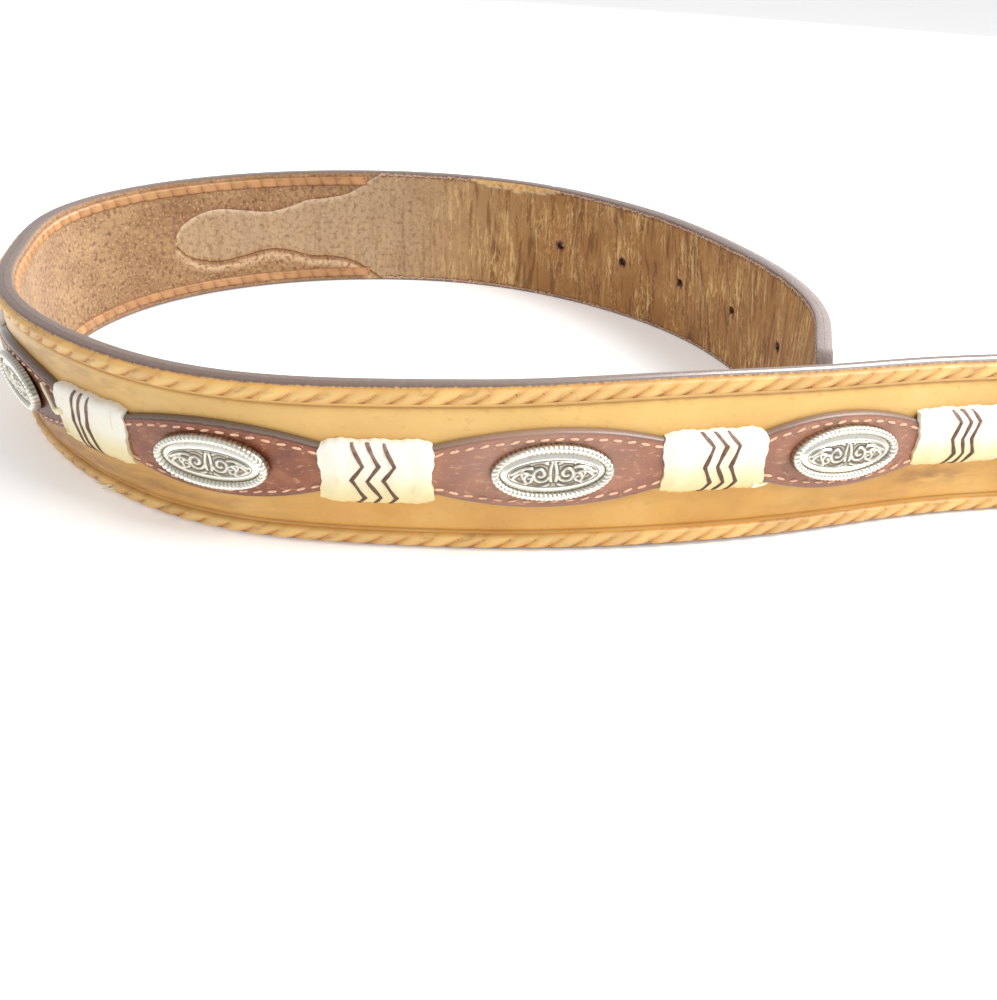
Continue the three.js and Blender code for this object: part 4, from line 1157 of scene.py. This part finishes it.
def scroll_relief(x, y):
    """0 on the ground to 1 on a stroke's crest: exp(-(distance / width) squared) of the nearest of
    the strokes and their mirror images. Also the dark line that runs along both sides of it."""
    nearest = np.full_like(x, 9.0)
    for points, width in STROKES:
        reach = np.hypot(np.abs(x)[..., None] - points[:, 0], y[..., None] - points[:, 1]).min(-1)
        nearest = np.minimum(nearest, reach / width)
    return np.exp(-(nearest**2)), np.exp(-(((nearest - 1.9) / 0.6) ** 2))


# %% Conchos
BEADS = 58
UNDERSIDE = -0.28
half_length, half_height = CONCHO_LENGTH / 2, CONCHO_HEIGHT / 2
fine = np.linspace(0, 2 * np.pi, 2001)
pieces_of_arc = np.hypot(np.diff((half_length - ROPE_EDGE / 2) * np.cos(fine)),
                         np.diff((half_height - ROPE_EDGE / 2) * np.sin(fine)))
arc = np.concatenate([[0], np.cumsum(pieces_of_arc)])


def even_angles(count):
    """Angles round the oval that lie evenly along its rope edge."""
    angle = np.interp(np.linspace(0, arc[-1], count + 1), arc, fine)
    angle[-1] = 0
    return angle[None]


def oval(inset, angle, share=1.0):
    """x and y of ovals that lie inside the rim by inset, then shrunk to a share."""
    return np.stack([(half_length - inset) * share * np.cos(angle),
                     (half_height - inset) * share * np.sin(angle)])


def concho_parts():
    """The rope edge and the plate inside it, as (x, y, relief, tone level) grids. A bead is a half
    ellipse of its phase, on a rope that is a half ellipse of the inset. The plate is a bevel, a thin
    groove, and a ground that domes by 0.35 mm under the scroll."""
    angle = even_angles(6 * BEADS)
    inset = np.array([0, 0, 0.08, 0.25, 0.5, 0.8, 1.1, 1.4, 1.65, ROPE_EDGE])[:, None]
    phase = np.linspace(0, BEADS, 6 * BEADS + 1)[None] + inset * 0.5
    bead = np.clip(1 - (2 * np.mod(phase, 1) - 1) ** 2, 0, 1) ** 0.5
    rope = np.clip(1 - ((inset - ROPE_EDGE / 2) / 0.95) ** 2, 0, 1) ** 0.5
    relief = 0.4 + rope * (0.75 + 0.55 * bead)
    relief[0] = UNDERSIDE
    relief[:, -1] = relief[:, 0]
    x, y = oval(inset, angle)
    level = np.clip(0.15 + 0.95 * bead * rope, 0, 1)
    level[:, -1] = level[:, 0]
    yield x, y, relief, level
    angle = even_angles(200)
    inset = np.array([
        ROPE_EDGE, 1.95, 2.1, 2.4, 2.8, 3.1, 3.25, GROOVE_INSET, 3.45, GROUND_INSET])[:, None]
    inward = np.linspace(1, 0, 28)[1:, None]
    x, y = np.concatenate([oval(inset, angle), oval(GROUND_INSET, angle, inward)], 1)
    groove = np.exp(-(((inset - GROOVE_INSET) / 0.1) ** 2))
    bevel = 0.55 + 0.6 * np.clip((inset - ROPE_EDGE) / 1.3, 0, 1) ** 0.7 - 0.2 * groove
    dome = 1.15 + 0.35 * (1 - inward**2)
    crest, outline = (part[len(inset):] for part in scroll_relief(x, y))
    relief = np.concatenate([bevel + 0 * angle, dome + 0.3 * crest])
    shine = 0.95 * np.clip((inset - 1.75) / 0.25, 0.2, 1) - 0.75 * groove
    level = np.concatenate([shine + 0 * angle, 0.34 + 0.55 * crest - 0.34 * outline])
    yield x, y, relief, level


parts = list(concho_parts())
for index, place in enumerate(CONCHOS):
    discs = []
    for x, y, relief, level in parts:
        top = np.stack([x, y, relief], -1)[::-1]
        under = np.stack([x, y, np.full_like(x, UNDERSIDE)], -1)[::-1]
        under[:-1] = under[:1]
        discs.append(sheet(place_rigid(top, place, STRIP_LINE, CONCHO_BACK),
                           place_rigid(under, place, STRIP_LINE, CONCHO_BACK),
                           strap_uv(x, y)[::-1], closed=True, rim=level[::-1]))
    add_piece(f"silver_concho_{index + 1}", discs, silver,
              [f"concho_{index + 1}"], sharp=60)
print("all pieces together:", sum(triangle_counts), "triangles")

# %% [markdown]
# ## Floor and light
# A white floor that glows faintly, like a light table, keeps the background white and the shadow
# thin. The same paper stands up as a wall far behind, or a grey wedge of sky would show in the
# corner of the picture. One softbox behind and one overhead to the right give the burnished edges
# and the wax their highlights, as windows would.

# %% Floor and light
REACH, WALL_PLACE, WALL_TOP = 12, 9, 4
paper = [
    (-REACH, -REACH, 0), (REACH, -REACH, 0), (REACH, WALL_PLACE, 0), (-REACH, WALL_PLACE, 0),
    (REACH, WALL_PLACE, WALL_TOP), (-REACH, WALL_PLACE, WALL_TOP),
]
floor_mesh = bpy.data.meshes.new("floor")
floor_mesh.from_pydata(paper, [], [(0, 1, 2, 3), (3, 2, 4, 5)])
floor = bpy.data.objects.new("floor", floor_mesh)
white, tree = new_material("white_paper", 0.9)
shader = tree.nodes["Principled BSDF"]
shader.inputs["Base Color"].default_value = (0.9, 0.9, 0.9, 1)
shader.inputs["Emission Color"].default_value = (1, 1, 1, 1)
shader.inputs["Emission Strength"].default_value = 0.3
floor_mesh.materials.append(white)
scene.collection.objects.link(floor)

scene.world = bpy.data.worlds.new("studio")
scene.world.use_nodes = True
sky = scene.world.node_tree.nodes["Background"]
sky.inputs["Color"].default_value = (1, 1, 1, 1)
sky.inputs["Strength"].default_value = 0.6
scene.view_settings.view_transform = "Standard"

LAMPS = [
    ("back_softbox", (0.45, 0.85, 0.5), (0, 0, 0), 0.8, 17),
    ("right_softbox", (0.42, -0.2, 0.7), (0.08, -0.1, 0.02), 0.5, 8),
]
for name, place, aim, size, power in LAMPS:
    lamp = bpy.data.objects.new(name, bpy.data.lights.new(name, "AREA"))
    lamp.data.size = size
    lamp.data.energy = power
    way = np.array(aim) - np.array(place)
    lamp.location = place
    lamp.rotation_euler = Vector(way).to_track_quat("-Z", "Y").to_euler()
    scene.collection.objects.link(lamp)
